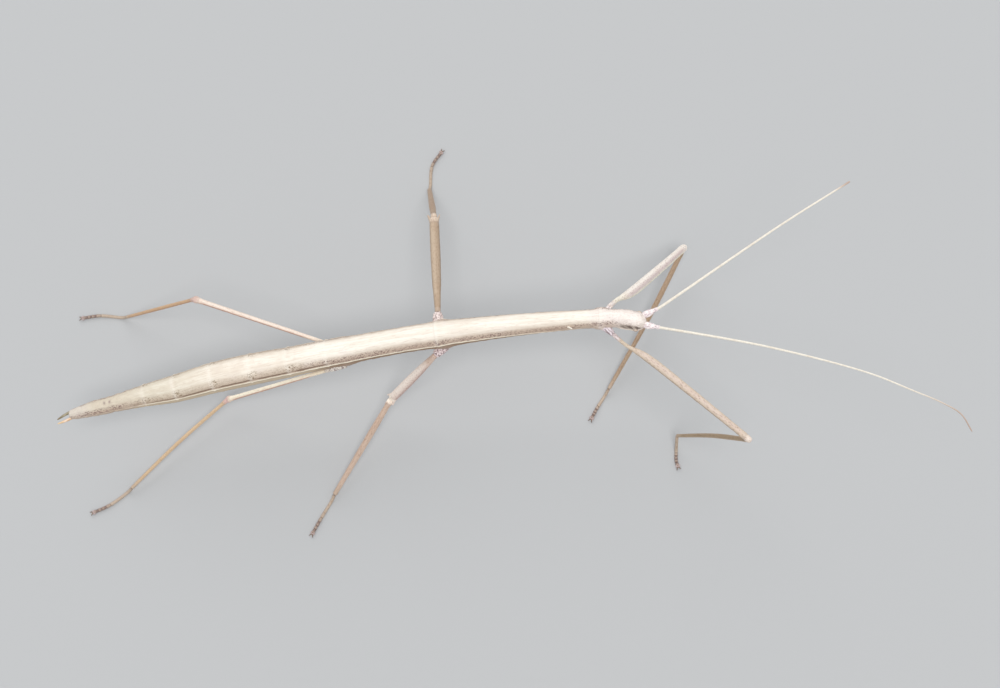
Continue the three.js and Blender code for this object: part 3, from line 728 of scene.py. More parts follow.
def bodyFinish():
    look = Finish("bodyCuticle", 0.35, bodyPaint, "beige")
    along = look.node("ShaderNodeSeparateXYZ", {}, {"Vector": look.strand})
    longGrain = look.noise((0.10, 2.4, 2.4), 5.0, 0.65)
    fineGrain = look.noise((0.8, 6.0, 6.0), 3.0, 0.6)
    patches = look.noise(0.4, 4.0)
    front = 1 - along.between(6.0, 9.5)
    back = along.between(50.0, 56.0)
    tail = along.between(76.0, 84.0)
    look.lay(longGrain.between(0.36, 0.64), "cream")
    # painted light: the top is laid whiter, over the pale back's own colour
    top = look.attribute("whiteAndLitMark") * (1 - tail * 0.4)
    look.lay(top * (0.55 + longGrain.between(0.4, 0.6) * 0.4), "white")
    look.lay(patches.between(0.52, 0.72) * 0.25, "pink")
    look.lay(back * (0.15 + patches.between(0.4, 0.6) * 0.25), "beige")
    look.lay(front * 0.45, "pink")
    look.lay(tail * 0.6, "tail")
    look.lay(along.between(86.5, 90.0) * 0.6, "lilac")
    look.lay(along.between(62.0, 78.0), (0.85, 0.86, 0.82, 1), "MULTIPLY")
    # tan on the flanks and belly: their own brown, and painted shade
    tan = look.attribute("tanAndShadeMark") * (0.6 + longGrain.between(0.3, 0.7) * 0.4)
    look.lay(tan, "tan")
    look.lay(look.attribute("ringPale") * (1 - tail) * 0.35, "white")
    look.lay(fineGrain.between(0.5, 0.68) * 0.26, "tan")
    # specks: short dashes in clusters, round dots among them, and a few strays
    clusters = look.noise((0.5, 1.2, 1.2), 2.0).between(0.28, 0.46)
    dashes = look.noise((3.0, 6.5, 6.5), 2.0, 0.7).between(0.50, 0.60)
    speckles = (look.attribute("speckleMark") * clusters).clamped()
    marked = (dashes * 0.8 + look.dots((2.5, 3.5, 3.5), 0.17, 0.30) * 0.8).clamped()
    look.lay(marked * speckles, look.mixed(back * (1 - tail), "speck", "olive"))
    look.lay(look.dots(1.5, 0.05, 0.1) * 0.35, "mauve")
    look.lay(look.dots((3.0, 4.0, 4.0), 0.12, 0.3) * tail * (0.35 + tan * 0.6), "mauve")
    freckles = look.noise((3.0, 4.5, 4.5), 3.0, 0.7).between(0.52, 0.62)
    look.lay(freckles * front * 0.24, "mauve")
    streaks = look.noise((1.6, 4.0, 4.0), 3.0, 0.7).between(0.42, 0.58)
    cheek = look.mixed(streaks, "taupe", "brown")
    # below the pale line: pleura brown on the thorax, and belt on the abdomen, which is painted belly
    # shade
    strip = look.mixed(look.attribute("beltMark"), "strip", "belt")
    for mark, strength, colour in (
            ("cheekMark", 0.6 + streaks * 0.35, cheek), ("stripAndShadeMark", 0.9, strip),
            ("paleMark", 1.0, "pale"), ("darkMark", 0.95, "groove"), ("ringDark", 0.15, "mauve"),
            ("wartMark", 0.6, "pink"), ("wartShade", 0.8, "mauve"), ("spotMark", 0.7, "purple")):
        look.lay(look.attribute(mark) * strength, colour)
    pits = look.cells(9.0).between(0.0, 0.5)
    return look.finish(0.44 + longGrain * 0.2, (fineGrain, 0.00003, 0.8), (pits, 0.000014, 0.6))


makeBody()


legProfiles = {
    # rows of (share of the length, width, height) from the body outwards
    "foreCoxa": [(0, 1.54, 1.34), (0.3, 1.44, 1.24), (0.6, 1.1, 1.0), (0.8, 0.92, 0.88),
                 (1, 0.78, 0.76)],
    "midCoxa": [(0, 1.75, 1.4), (0.5, 1.64, 1.3), (0.85, 1.32, 1.12), (1, 1.08, 0.98)],
    "hindCoxa": [(0, 1.7, 1.4), (0.35, 1.5, 1.26), (0.7, 1.18, 1.08), (1, 0.84, 0.82)],
    "foreFemur": [(0, 0.74, 0.7), (0.03, 0.68, 0.66), (0.06, 0.58, 0.58), (0.13, 0.62, 0.64),
                  (0.175, 0.98, 0.88), (0.22, 1.22, 1.0), (0.28, 1.28, 1.02), (0.4, 1.28, 1.04),
                  (0.65, 1.16, 1.0), (0.9, 1.04, 0.96), (0.955, 1.14, 1.04), (1, 0.8, 0.8)],
    "midFemur": [(0, 0.86, 0.8), (0.06, 0.94, 0.88), (0.12, 1.04, 0.94), (0.3, 1.3, 1.12),
                 (0.6, 1.48, 1.22), (0.9, 1.42, 1.2), (0.965, 1.44, 1.2), (1, 1.16, 1.0)],
    "hindFemur": [(0, 0.74, 0.7), (0.025, 0.8, 0.74), (0.05, 0.6, 0.58), (0.5, 0.66, 0.64),
                  (0.92, 0.74, 0.7), (0.965, 1.02, 0.92), (1, 0.76, 0.7)],
    "foreTibia": [(0, 0.74, 0.74), (0.05, 0.9, 0.84), (0.09, 0.78, 0.76), (0.3, 0.84, 0.8),
                  (0.94, 0.6, 0.58), (1, 0.62, 0.6)],
    "midTibia": [(0, 0.94, 0.92), (0.05, 1.08, 1.0), (0.085, 0.8, 0.78), (0.12, 0.86, 0.82),
                 (0.35, 0.98, 0.9), (0.94, 0.72, 0.68), (1, 0.76, 0.72)],
    "hindTibia": [(0, 0.72, 0.7), (0.035, 0.74, 0.7), (0.06, 0.54, 0.54), (0.4, 0.57, 0.56),
                  (0.94, 0.5, 0.5), (1, 0.56, 0.54)],
}
# shares of the foot where its five joints begin and end
toeBorders = [0, 0.6, 0.71, 0.81, 0.89, 1.0]
toeForm = {"thin": 0.5, "thick": 0.62, "pad": 0.1, "soleRise": 0.22}
legForm = {
    "femurInset": 0.05, "landingSlope": 1.3, "landingMost": 0.4, "heelShare": 0.55,
    "ridge": 0.03, "ridgeWidth": 12.0,
}
spineForm = {
    "inset": 0.78, "apart": 0.46, "splay": 0.42, "lift": 0.1,
    "length": 1.38, "wide": 0.56, "high": 0.5,
    # the side of each, and the share of its width left at its tip: a flat tooth, a blunt lobe
    "tips": ((-1, 0.2), (1, 0.5)),
}
clawForm = {
    "spread": 28, "inset": 0.08, "apart": 0.1, "rise": 0.06, "length": 0.62, "drop": 0.2,
    "thick": 0.22,
}
# How far the femur runs past the knee, how far the knee's two lobes and the fine lumps of the
# coxa and the trochanter stand out, and the width of those lumps as a share of their length.
# The coxa's colours reach over the trochanter with this strength, fading between two distances.
# The ring is a groove round the trochanter, and the flecks are the specks beside the stripe.
kindForm = table("overrun lobe lumps trochanter stretch tinted ring flecks", {
    "fore": (0.4, 0.1, 0.03, 0.008, 0.3, (0.85, 0.9, 1.7), 0.0, 0.6),
    "mid": (-0.05, 0.05, 0.06, 0.015, 0.8, (0.15, 0.55, 1.0), 0.0, 0.2),
    "hind": (0.4, 0.2, 0.06, 0.045, 1.0, (1.0, 0.55, 1.0), 0.09, 0.2),
})
foreBow = [(0.1, -0.1), (0.22, 0.32), (0.55, 0.28)]

# Hip inside the thorax, root of the femur, knee, ankle, then the foot's length and the
# headings in degrees of its first and last part. The edge, with its width, and the stripe run
# along the femur at these angles round it: 0 is its left side seen from the body, 90 its back.
# The girths swell or thin the femur and the tibia.
legRows = table("hip root knee ankle foot headings inwards bow girth edge stripeAt", {
    "fore_left": ((18.8, -5.9, 23.8), (19.9, -4.3, 23.3), (34.8, 7.6, 5.9), (18.8, -12.5, 1.0),
                  5.8, (-132, -128), -1, 0.3, (1.14, 0.96), (180, 17), 124),
    "fore_right": ((18.4, -6.9, 23.7), (19.7, -8.7, 23.45), (36.3, -28.3, 25.8), (28.1, -22.3, 3.2),
                   6.0, (-100, -84), 1, -0.35, (0.92, 0.9), (192, 36), 85),
    "mid_left": ((-6.2, -1.9, 20.7), (-6.0, 0.15, 20.3), (-4.3, 16.6, 16.3), (-4.7, 26.2, 1.0),
                 7.7, (76, 48), 1, 0.0, (1.0, 1.0), (180, 17), 60),
    "mid_right": ((-5.2, -4.8, 20.3), (-7.5, -6.3, 19.5), (-16.1, -9.0, 5.8), (-27.9, -22.0, 1.0),
                  7.4, (-130, -128), 1, 0.0, (1.0, 1.0), (6, 36), 100),
    "hind_left": ((-21.9, -2.0, 17.9), (-23.3, -1.2, 16.9), (-43.5, 9.9, 16.4), (-57.8, 13.3, 1.0),
                  8.0, (165, 178), 1, 0.0, (1.0, 1.0), (16, 24), 100),
    "hind_right": ((-21.4, -4.7, 18.3), (-24.0, -5.3, 17.9), (-42.5, -4.1, 3.9), (-60.4, -15.3, 0.9),
                   7.6, (-153, -165), 1, -0.3, (1.0, 1.0), (16, 24), 100),
})

# colours along each leg, and those of all the feet, with painted light: mid_left darker as in shade,
# hind_right lighter as lit
legPaintLitAndShaded = table("lump pit stalk femur under stripe edge knee tibia tibiaEdge", {
    "fore_left": ((246, 238, 234), (186, 168, 170), (238, 232, 214), (242, 235, 226), (200, 182, 168),
                  (202, 184, 182), (240, 238, 208), (238, 230, 220), (166, 142, 118), (188, 164, 140)),
    "fore_right": ((236, 226, 232), (142, 122, 124), (208, 192, 171), (210, 194, 176), (150, 126, 106),
                   (208, 190, 178), (160, 136, 116), (224, 210, 198), (166, 144, 118), (190, 168, 142)),
    # painted shade: a darker copy of mid_right's colours
    "mid_left": ((234, 220, 216), (140, 118, 116), (175, 154, 132), (175, 154, 132), (146, 124, 106),
                 (191, 172, 150), (152, 130, 112), (210, 192, 174), (172, 149, 128), (194, 173, 150)),
    # painted light: the lit copy of mid_left's colours
    "mid_right": ((234, 218, 218), (118, 92, 94), (206, 180, 162), (236, 220, 208), (184, 158, 146),
                  (246, 234, 224), (188, 160, 152), (246, 234, 220), (194, 170, 152), (214, 192, 176)),
    "hind_left": ((222, 206, 200), (130, 104, 104), (236, 222, 206), (231, 214, 200), (166, 120, 96),
                  (235, 221, 208), (172, 112, 90), (204, 178, 168), (200, 166, 132), (176, 128, 98)),
    # painted light: lighter than hind_left, as lit
    "hind_right": ((222, 216, 206), (140, 120, 124), (240, 226, 202), (247, 235, 214), (190, 144, 122),
                   (251, 243, 224), (184, 132, 112), (214, 182, 176), (203, 176, 142), (214, 186, 158)),
})
footPaint = {"foot": (182, 164, 146), "toe": (138, 118, 110), "pad": (182, 164, 162),
             "rim": (192, 176, 160)}
# how strong the grain is on each kind of leg, and the strength and colour of its specks
legGrain = {"fore": (1.05, 1.0, paint(134, 98, 100)), "mid": (0.85, 0.7, paint(128, 96, 88)),
            "hind": (0.55, 0.5, paint(148, 92, 72))}


def flatHeading(degrees):
    turn = math.radians(degrees)
    return np.array([math.cos(turn), math.sin(turn), 0.0])


def bowedPoints(start, end, offsets):
    line = end - start
    side, lift = acrossPath(unit(line)[None])
    inner = [start + line * share + side[0] * offset for share, offset in offsets]
    return [start, *inner, end]


def ridges(v, width):
    # a bell across each of the four ridges of a limb
    return bell((v + 45) % 90 - 45, width)


def bothSides(v, width):
    return band(v, 0, width) + band(v, 180, width)


def tinted(colours, layers):
    # the colours laid one over the other, each with its share
    tint = np.zeros(3)
    for name, share in layers:
        share = np.clip(np.asarray(share, float), 0, 1)[..., None]
        tint = tint * (1 - share) + np.array(colours[name][:3]) * share
    return tint


def coxaShell(kind, row, colours):
    # short, thick and covered in fine lumps, with painted shade in the pits between them
    form = kindForm[kind]
    stretch = [form["stretch"], 1, 1]

    def shape(s, v, half):
        spots = roundSpots(s, v, half) * stretch
        return form["lumps"] * (lumps(spots, 0.28, 21, 20) + 0.6 * lumps(spots, 0.18, 22, 20))

    points = [place(row["hip"]), place(row["root"])]
    tube, s, _, straight = limb(points, legProfiles[kind + "Coxa"], 70, 60, (0.1, 0.2), shape, 0.03)
    pits = 0.9 * np.clip(0.3 - lumps(straight * stretch, 0.28, 21, 20), 0, 1)
    tint = tinted(colours, [("lump", 1), ("pit", pits)])
    return Shell(tube, strand=straight, tint=tint, speckleMark=0.4), s.max()


def femurShell(kind, row, colours, sign, start):
    # four soft ridges; the one towards the head is the sharpest
    root, knee = place(row["root"]), place(row["knee"])
    out = unit(knee - root)
    form = kindForm[kind]
    knee = knee + out * form["overrun"]
    sharpest = 0 if row["inwards"] * (1 if kind == "fore" else -sign) > 0 else 180

    def shape(s, v, half):
        spots = roundSpots(s, v, half)
        left = s.max() - s
        inside = bell(np.clip(np.abs(s / s.max() - 0.6) - 0.3, 0, None), 0.06)
        added = legForm["ridge"] * inside * ridges(v, legForm["ridgeWidth"]) * half / 0.6
        added += 0.02 * inside * band(v, sharpest, 12)
        added += 0.014 * lumps(spots * [0.5, 1, 1], 0.24, 31) + 0.012 * lumps(spots, 0.5, 32)
        # the lumpy trochanter and its ring, and two lobes that hold the knee
        added += form["trochanter"] * lumps(spots, 0.24, 33, 20) * bell(s, 0.75)
        added -= form["ring"] * half * bell(s - 0.85, 0.09)
        added += form["lobe"] * half * bothSides(v, 45) * bell(left - 0.55, 0.4)
        added += 0.03 * lumps(spots, 0.3, 34, 20) * bell(left - 0.5, 0.5)
        return added - 0.06 * half * bell(left - 1.15, 0.12)

    offsets = [(u, d * row["inwards"]) for u, d in foreBow] if kind == "fore" else [(0.5, 0.0)]
    points = bowedPoints(root - out * legForm["femurInset"], knee, offsets)
    profile = np.array(legProfiles[kind + "Femur"]) * [1, row["girth"][0], row["girth"][0]]
    tube, s, v, straight = limb(points, profile, 220, 40, (0.12, 0.35), shape, 0.012)
    share, left = s / s.max(), s.max() - s
    inside = rising(share, 0.08, 0.24) * (1 - rising(share, 0.9, 0.97))
    stripe = inside * band(v, row["stripeAt"], 34)
    pits = np.clip(0.2 - lumps(straight, 0.24, 33, 20), 0, 1)
    strength, full, gone = form["tinted"]
    trochanter = (1 - rising(s, full, gone)) * strength
    # the pit colour is painted shade: in the trochanter's pits, in its ring groove and in the groove
    # before the knee
    tint = tinted(colours, [
        ("femur", 1), ("stripe", 0.85 * stripe), ("under", 0.8 * band(v, 270, 60)),
        ("edge", 0.9 * inside * band(v, *row["edge"])),
        ("stalk", 0.8 * (1 - rising(share, 0.1, 0.22))),
        ("lump", 0.8 * trochanter), ("pit", 0.7 * trochanter * pits),
        ("pit", form["ring"] * 4 * bell(s - 0.86, 0.09)),
        ("knee", fading(left, 0.95, 0.1)), ("pit", 0.2 * bell(left - 1.15, 0.12))])
    flecks = form["flecks"] + (1 - form["flecks"]) * stripe
    shell = Shell(tube, strand=straight + [start, 0, 0], tint=tint, speckleMark=flecks)
    return shell, s.max(), out, knee


def spineShell(knee, out, across, tip, tint, start):
    # a small side spine at the tip of a middle femur
    form = spineForm
    side, lift = (line[0] for line in acrossPath(out[None]))
    base = knee - out * form["inset"] + side * across * form["apart"]
    line = unit(out + side * across * form["splay"] + lift * form["lift"])
    line = line * (form["length"] - 0.2 * tip)
    sizes = ((0, 1), (0.5, 0.5 + tip / 2), (1, tip))
    rows = [(u, form["wide"] * size, form["high"] * size) for u, size in sizes]
    tube, _, _, straight = limb([base, base + line / 2, base + line], rows, 20, 16, soften=0.012)
    return Shell(tube, strand=straight + [start, 0, 0], tint=tint, speckleMark=0)


def tibiaShell(kind, row, colours, start):
    # thin, ridged, with a pale round head in the knee
    def shape(s, v, half):
        spots = roundSpots(s, v, half)
        inside = bell(np.clip(np.abs(s / s.max() - 0.52) - 0.4, 0, None), 0.04)
        added = 0.035 * inside * ridges(v, 13) * half / 0.4
        return added + 0.008 * lumps(spots * [0.3, 1, 1], 0.22, 41) + 0.01 * lumps(spots, 0.5, 42)

    points = bowedPoints(place(row["knee"]), place(row["ankle"]), [(0.5, row["bow"])])
    profile = np.array(legProfiles[kind + "Tibia"]) * [1, row["girth"][1], row["girth"][1]]
    tube, s, v, straight = limb(points, profile, 170, 28, (0.3, 0.2), shape, 0.012)
    share = s / s.max()
    # the pit colour is painted shade where the tibia narrows behind the knee's head
    tint = tinted(colours, [
        ("tibia", 1), ("tibiaEdge", 0.8 * bothSides(v, 30)), ("under", 0.5 * band(v, 270, 60)),
        ("knee", fading(s, 0.75, 0.12)), ("pit", 0.25 * bell(s - 0.95, 0.12)),
        ("foot", 0.8 * (share > 0.5) * bell(1 - share, 0.08))])
    flecks = 0.25 + 0.6 * band(v, 90, 32)
    return Shell(tube, strand=straight + [start, 0, 0], tint=tint, speckleMark=flecks), s.max()


def footPath(row):
    # slopes from the ankle to the floor and then follows it
    ankle = place(row["ankle"])
    first, last = (flatHeading(degrees) for degrees in row["headings"])
    drop = ankle[2] - toeForm["soleRise"]
    landing = ankle + first * min(drop * legForm["landingSlope"], row["foot"] * legForm["landingMost"])
    landing[2] = toeForm["soleRise"]
    rest = row["foot"] - np.linalg.norm(landing - ankle)
    middle = landing + first * rest * legForm["heelShare"]
    toe = middle + last * rest * (1 - legForm["heelShare"])
    return smoothPath([ankle, landing, middle, toe])


def footShells(path, length, start, colours):
    # five joints, each wider at its far end, with a pad under it, and a soft pad after the last
    shells = []
    tones = ["foot"] * 2 + ["toe"] * 4
    thin, thick = toeForm["thin"], toeForm["thick"]
    for k, (begin, end) in enumerate(zip(toeBorders, toeBorders[1:])):
        long = (end - begin) * length
        spots, _ = alongPath(path, np.linspace(begin - (0.05 / length if k else 0), end, 12))
        lap = 0.18 / long
        rows = [(0, thin * 0.8, thin * 0.8), (min(lap, 0.4), thin, thin),
                (max(1 - lap * 1.6, 0.55), thin * 1.02, thin), (1 - lap * 0.5, thick, thin * 1.1),
                (1, thick * 0.9, thin)]

        def shape(s, v, half):
            return toeForm["pad"] * band(v, 270, 50) * bell(s - long + 0.2, 0.22)

        rings = 14 + int(long * 8)
        tube, s, _, straight = limb(spots, rows, rings, 20, (0.1, 0.14), shape, level=True)
        tint = tinted(colours, [
            (tones[k], 1), (tones[k + 1], s / s.max()), ("toe", 0.6 * bell(s - 0.05, 0.1)),
            ("rim", 0.5 * bell(s - long + 0.25, 0.12))])
        shells.append(Shell(tube, strand=straight + [start, 0, 0], tint=tint, speckleMark=0.5))
        start += long
    ahead = unit(path[-1] - path[-8])
    pad = path[-1] + ahead * np.array([[-0.42], [-0.12], [0.18]])
    rows = [(0, 0.54, 0.44), (0.5, 0.8, 0.5), (1, 0.62, 0.34)]
    tube, _, _, straight = limb(pad, rows, 16, 20, (0.15, 0.2), level=True)
    tint = tinted(colours, [("pad", 1)])
    shells.append(Shell(tube, strand=straight + [start, 0, 0], tint=tint, speckleMark=0))
    return shells, ahead


def clawShell(toe, ahead, across):
    # a curved, tapering claw: it leaves the toe to one side and bends down to the floor
    form = clawForm
    aim = flatHeading(math.degrees(math.atan2(ahead[1], ahead[0])) + across * form["spread"])
    base = toe - ahead * form["inset"] + aim * form["apart"]
    base[2] = toeForm["soleRise"] + form["rise"]
    length, thick = form["length"], form["thick"]
    middle = base + aim * length * 0.55 + upwards * 0.10 * length
    tip = base + aim * length - upwards * form["drop"]
    rows = [(0, thick, thick * 1.1), (0.5, thick * 0.7, thick * 0.8), (1, 0.05, 0.06)]
    tube, s, _, straight = limb([base, middle, tip], rows, 14, 10, (0.05, 0.04), level=True)
    return Shell(tube, strand=straight, tipMark=s / s.max())


def makeLeg(name, row):
    kind, hand = name.split("_")
    colours = palette(**legPaintLitAndShaded[name], **footPaint)
    coxa, walked = coxaShell(kind, row, colours)
    femur, length, out, knee = femurShell(kind, row, colours, hands[hand], walked)
    walked += length
    shells = [coxa, femur]
    shade = tinted(colours, [("edge", 1), ("knee", 0.6)])
    for across, tip in spineForm["tips"] if kind == "mid" else ():
        shells.append(spineShell(knee, out, across, tip, shade, walked))
    tibia, length = tibiaShell(kind, row, colours, walked)
    walked += length
    path, length = footPath(row)
    feet, ahead = footShells(path, length, walked, colours)
    nodes = [f"{name}_{part}" for part in ("coxa", "femur", "tibia", "tarsus")]
    shells += [tibia, *feet]
    title = kind + hand.capitalize()
    makePiece(title + "Leg", shells, legFinishes[kind], kind + "_leg", nodes)
    claws = [clawShell(path[-1], ahead, across) for across in (1, -1)]
    makePiece(title + "Claws", claws, hornFinishes["clawHorn"], "horn")


def legFinish(kind):
    grain, specks, speckColour = legGrain[kind]
    look = Finish(kind + "LegCuticle", 0.35)
    look.colour = look.attribute("tint", "Color")
    longGrain = look.noise((0.35, 4.0, 4.0), 4.0, 0.6)
    fineGrain = look.noise((2.2, 5.5, 5.5), 3.0, 0.6)
    patches = look.noise((0.5, 1.0, 1.0))
    light = fineGrain.between(0.38, 0.5) * (1 - fineGrain.between(0.5, 0.6))
    for share, colour in (
            (longGrain.between(0.4, 0.65) * 0.5, (1.08, 1.07, 1.06, 1)),
            (patches.between(0.5, 0.66) * 0.4, (0.92, 0.86, 0.82, 1)),
            (fineGrain.between(0.5, 0.68) * grain, (0.74, 0.68, 0.66, 1)),
            (light * grain * 0.3, (1.1, 1.09, 1.08, 1))):
        look.lay(share, colour, "MULTIPLY")
    clusters = look.noise((0.45, 1.2, 1.2), 2.0).between(0.42, 0.6)
    dots = look.dots((2.6, 4.2, 4.2), 0.10, 0.26)
    look.lay(dots * clusters * look.attribute("speckleMark") * specks, speckColour)
    bumps = (fineGrain, 0.00003, 0.8), (longGrain, 0.00004, 0.6)
    return look.finish(0.42 + longGrain * 0.2, *bumps)


# light, dark and tip of each horn
hornPaint = {
    "clawHorn": ((150, 128, 112), (122, 100, 86), (70, 50, 42)),
    "olivineHorn": ((166, 156, 132), (118, 108, 82), (128, 112, 84)),
    "amberHorn": ((236, 212, 190), (206, 158, 104), (222, 196, 156)),
}


def hornFinish(name):
    colours = (paint(*colour) for colour in hornPaint[name])
    look = Finish(name, 0.5, dict(zip(("light", "dark", "tip"), colours)), "light")
    grain = look.noise((1.2, 8.0, 8.0))
    look.lay(grain.between(0.35, 0.65), "dark")
    look.lay(look.attribute("tipMark").between(0.4, 0.95) * 0.8, "tip")
    return look.finish(0.3 + grain * 0.2, (grain, 0.00001, 0.5))


legFinishes = {kind: legFinish(kind) for kind in legGrain}
hornFinishes = {name: hornFinish(name) for name in hornPaint}
for legName, legRow in legRows.items():
    makeLeg(legName, legRow)


# where the base, its joint and the points of the whip are, and how thick the whip is
feelerRows = table("root joint whip base tip tipFrom", {
    "left": ((24.4, -6.95, 24.8), (26.9, -6.3, 25.2), [(46.7, 2.2, 28.8), (57.9, 6.5, 31.0)],
             0.44, 0.27, 0.9),
    "right": ((24.1, -8.2, 24.8), (26.65, -9.25, 25.2),
              [(41.5, -15.3, 27.2), (55.0, -22.0, 28.6), (60.4, -25.5, 28.8), (64.7, -28.3, 28.6),
               (66.9, -30.2, 28.2), (68.1, -32.9, 27.4)], 0.42, 0.18, 0.72),
})
feelerForm = {
    "scape": [(0, 0.7, 0.6), (0.15, 0.98, 0.64), (0.35, 1.06, 0.66), (0.58, 0.84, 0.6),
              (0.7, 0.6, 0.54), (0.76, 0.54, 0.5), (0.84, 0.6, 0.56), (0.94, 0.56, 0.52),
              (1, 0.46, 0.44)],
    "shortest": 0.34, "longest": 1.25, "pinch": 0.035, "inside": 0.2, "rings": 900, "sides": 16,
}
feelerPaint = palette(scape=(246, 236, 234), straw=(224, 216, 202), cream=(242, 236, 222),
                      tip=(168, 136, 120), joint=(204, 184, 162), shade=(176, 150, 158))


def makeFeeler(hand, row):
    root, joint = place(row["root"]), place(row["joint"])

    def scapeShape(s, v, half):
        return 0.02 * lumps(roundSpots(s, v, half), 0.3, 51) + 0.03 * bothSides(v, 16)

    tube, _, _, straight = limb([root, joint], feelerForm["scape"], 70, 32, (0.1, 0.12), scapeShape)
    shells = [Shell(tube, strand=straight, share=0, jointMark=0, scapeMark=1)]

    inside = joint - unit(joint - root) * feelerForm["inside"]
    path, length = smoothPath([inside, joint, *(place(p) for p in row["whip"])], 1200)
    # joints of the whip grow from short to long; each is pinched where it begins
    shares = np.linspace(0, 1, feelerForm["rings"])
    distance = shares * length
    growth = (feelerForm["longest"] - feelerForm["shortest"]) / length
    phase = np.log(1 + growth * distance / feelerForm["shortest"]) / growth % 1.0
    pinch = bell(np.minimum(phase, 1 - phase), 0.1)
    half = (row["base"] + (row["tip"] - row["base"]) * shares ** 0.8) / 2
    half = half * (1 - feelerForm["pinch"] * pinch) * (1 + 0.05 * phase)
    half = (half * roundedEnds(distance, length, 0.05, 0.3))[:, None]
    v = (np.arange(feelerForm["sides"]) * 360 / feelerForm["sides"])[None, :]
    tube = ringTube(*alongPath(path, shares), v, half, half)
    shells.append(Shell(tube, strand=roundSpots(distance[:, None], v, half), share=shares[:, None],
                        jointMark=pinch[:, None], scapeMark=0))
    nodes = [f"antenna_{hand}_{part}" for part in ("base", "near", "far")]
    makePiece(hand + "Feeler", shells, feelerFinish(hand, row["tipFrom"]), "feeler", nodes)


def feelerFinish(hand, tipFrom):
    look = Finish(hand + "FeelerCuticle", 0.4, feelerPaint, "straw")
    grain = look.noise((1.5, 9.0, 9.0))
    bands = look.noise((0.5, 0.2, 0.2), 2.0)
    look.lay(grain.between(0.35, 0.65), "cream")
    look.lay(bands.between(0.45, 0.7) * 0.25, "joint")
    look.lay(look.attribute("share").between(tipFrom, 1.0) * 0.8, "tip")
    look.lay(look.attribute("jointMark") * 0.18, "joint")
    streaks = look.noise((1.6, 7.0, 7.0), 4.0, 0.7)
    scape = look.mixed(streaks.between(0.46, 0.58) * 0.8, "scape", "shade")
    look.lay(look.attribute("scapeMark"), scape)
    return look.finish(0.42 + grain * 0.2, (grain, 0.00001, 0.6))


for feelerHand, feelerRow in feelerRows.items():
    makeFeeler(feelerHand, feelerRow)


eyeForm = {"along": 0.31, "out": 0.46, "lift": 0.04, "long": 0.92, "tall": 0.78, "deep": 0.68}
eyePaint = palette(pale=(228, 208, 188), dark=(178, 148, 130), facet=(130, 102, 90))


def makeEye(hand, sign):
    # an ellipsoid: each direction times its half size, with a slightly flattened outer face
    centre, forward, left, up = onBody("head", eyeForm["along"], sign * eyeForm["out"], eyeForm["lift"])
    down = np.linspace(0.02, np.pi - 0.02, 60)[:, None]
    turn = (np.arange(72) * 2 * np.pi / 72)[None, :]
    x = np.sin(down) * np.cos(turn) * eyeForm["long"] / 2
    y = np.cos(down) * eyeForm["deep"] / 2 + 0 * turn
    z = np.sin(down) * np.sin(turn) * eyeForm["tall"] / 2
    local = np.stack([x, y, z], -1)[:, ::-sign]
    rings = centre + local @ np.stack([forward, sign * left, up])
    makePiece(hand + "Eye", [Shell(rings, strand=local)], eyeFinish(), "eye", [f"eye_{hand}"])


def eyeFinish():
    look = Finish("eyeGloss", 0.6, eyePaint, "pale")
    look.shader.inputs["Coat Weight"].default_value = 0.5
    look.shader.inputs["Coat Roughness"].default_value = 0.08
    facets = look.cells(22.0, 0.25)
    mottle = look.noise((2.0, 2.0, 7.0))
    look.lay(mottle.between(0.4, 0.6), "dark")
    look.lay(facets.between(0.25, 0.6) * 0.4, "facet")
    return look.finish(0.2, (1 - facets, 0.00001, 0.5))


for eyeHand, eyeSign in hands.items():
    makeEye(eyeHand, eyeSign)


mouthForm = {
    "along": 0.42, "sink": 0.3, "reach": 1.15, "drop": 1.05, "width": 1.4, "depth": 0.9,
    # share along the wedge, then out, drop, reach and dip of each pair of palps, and thickness
    "palps": [(0.6, 0.5, 0.52, 0.78, 0.2, 0.3), (0.85, 0.2, 0.36, 0.54, 0.14, 0.24)],
}
mouthPaint = palette(pale=(206, 182, 162), brown=(170, 142, 122), dark=(98, 70, 54))


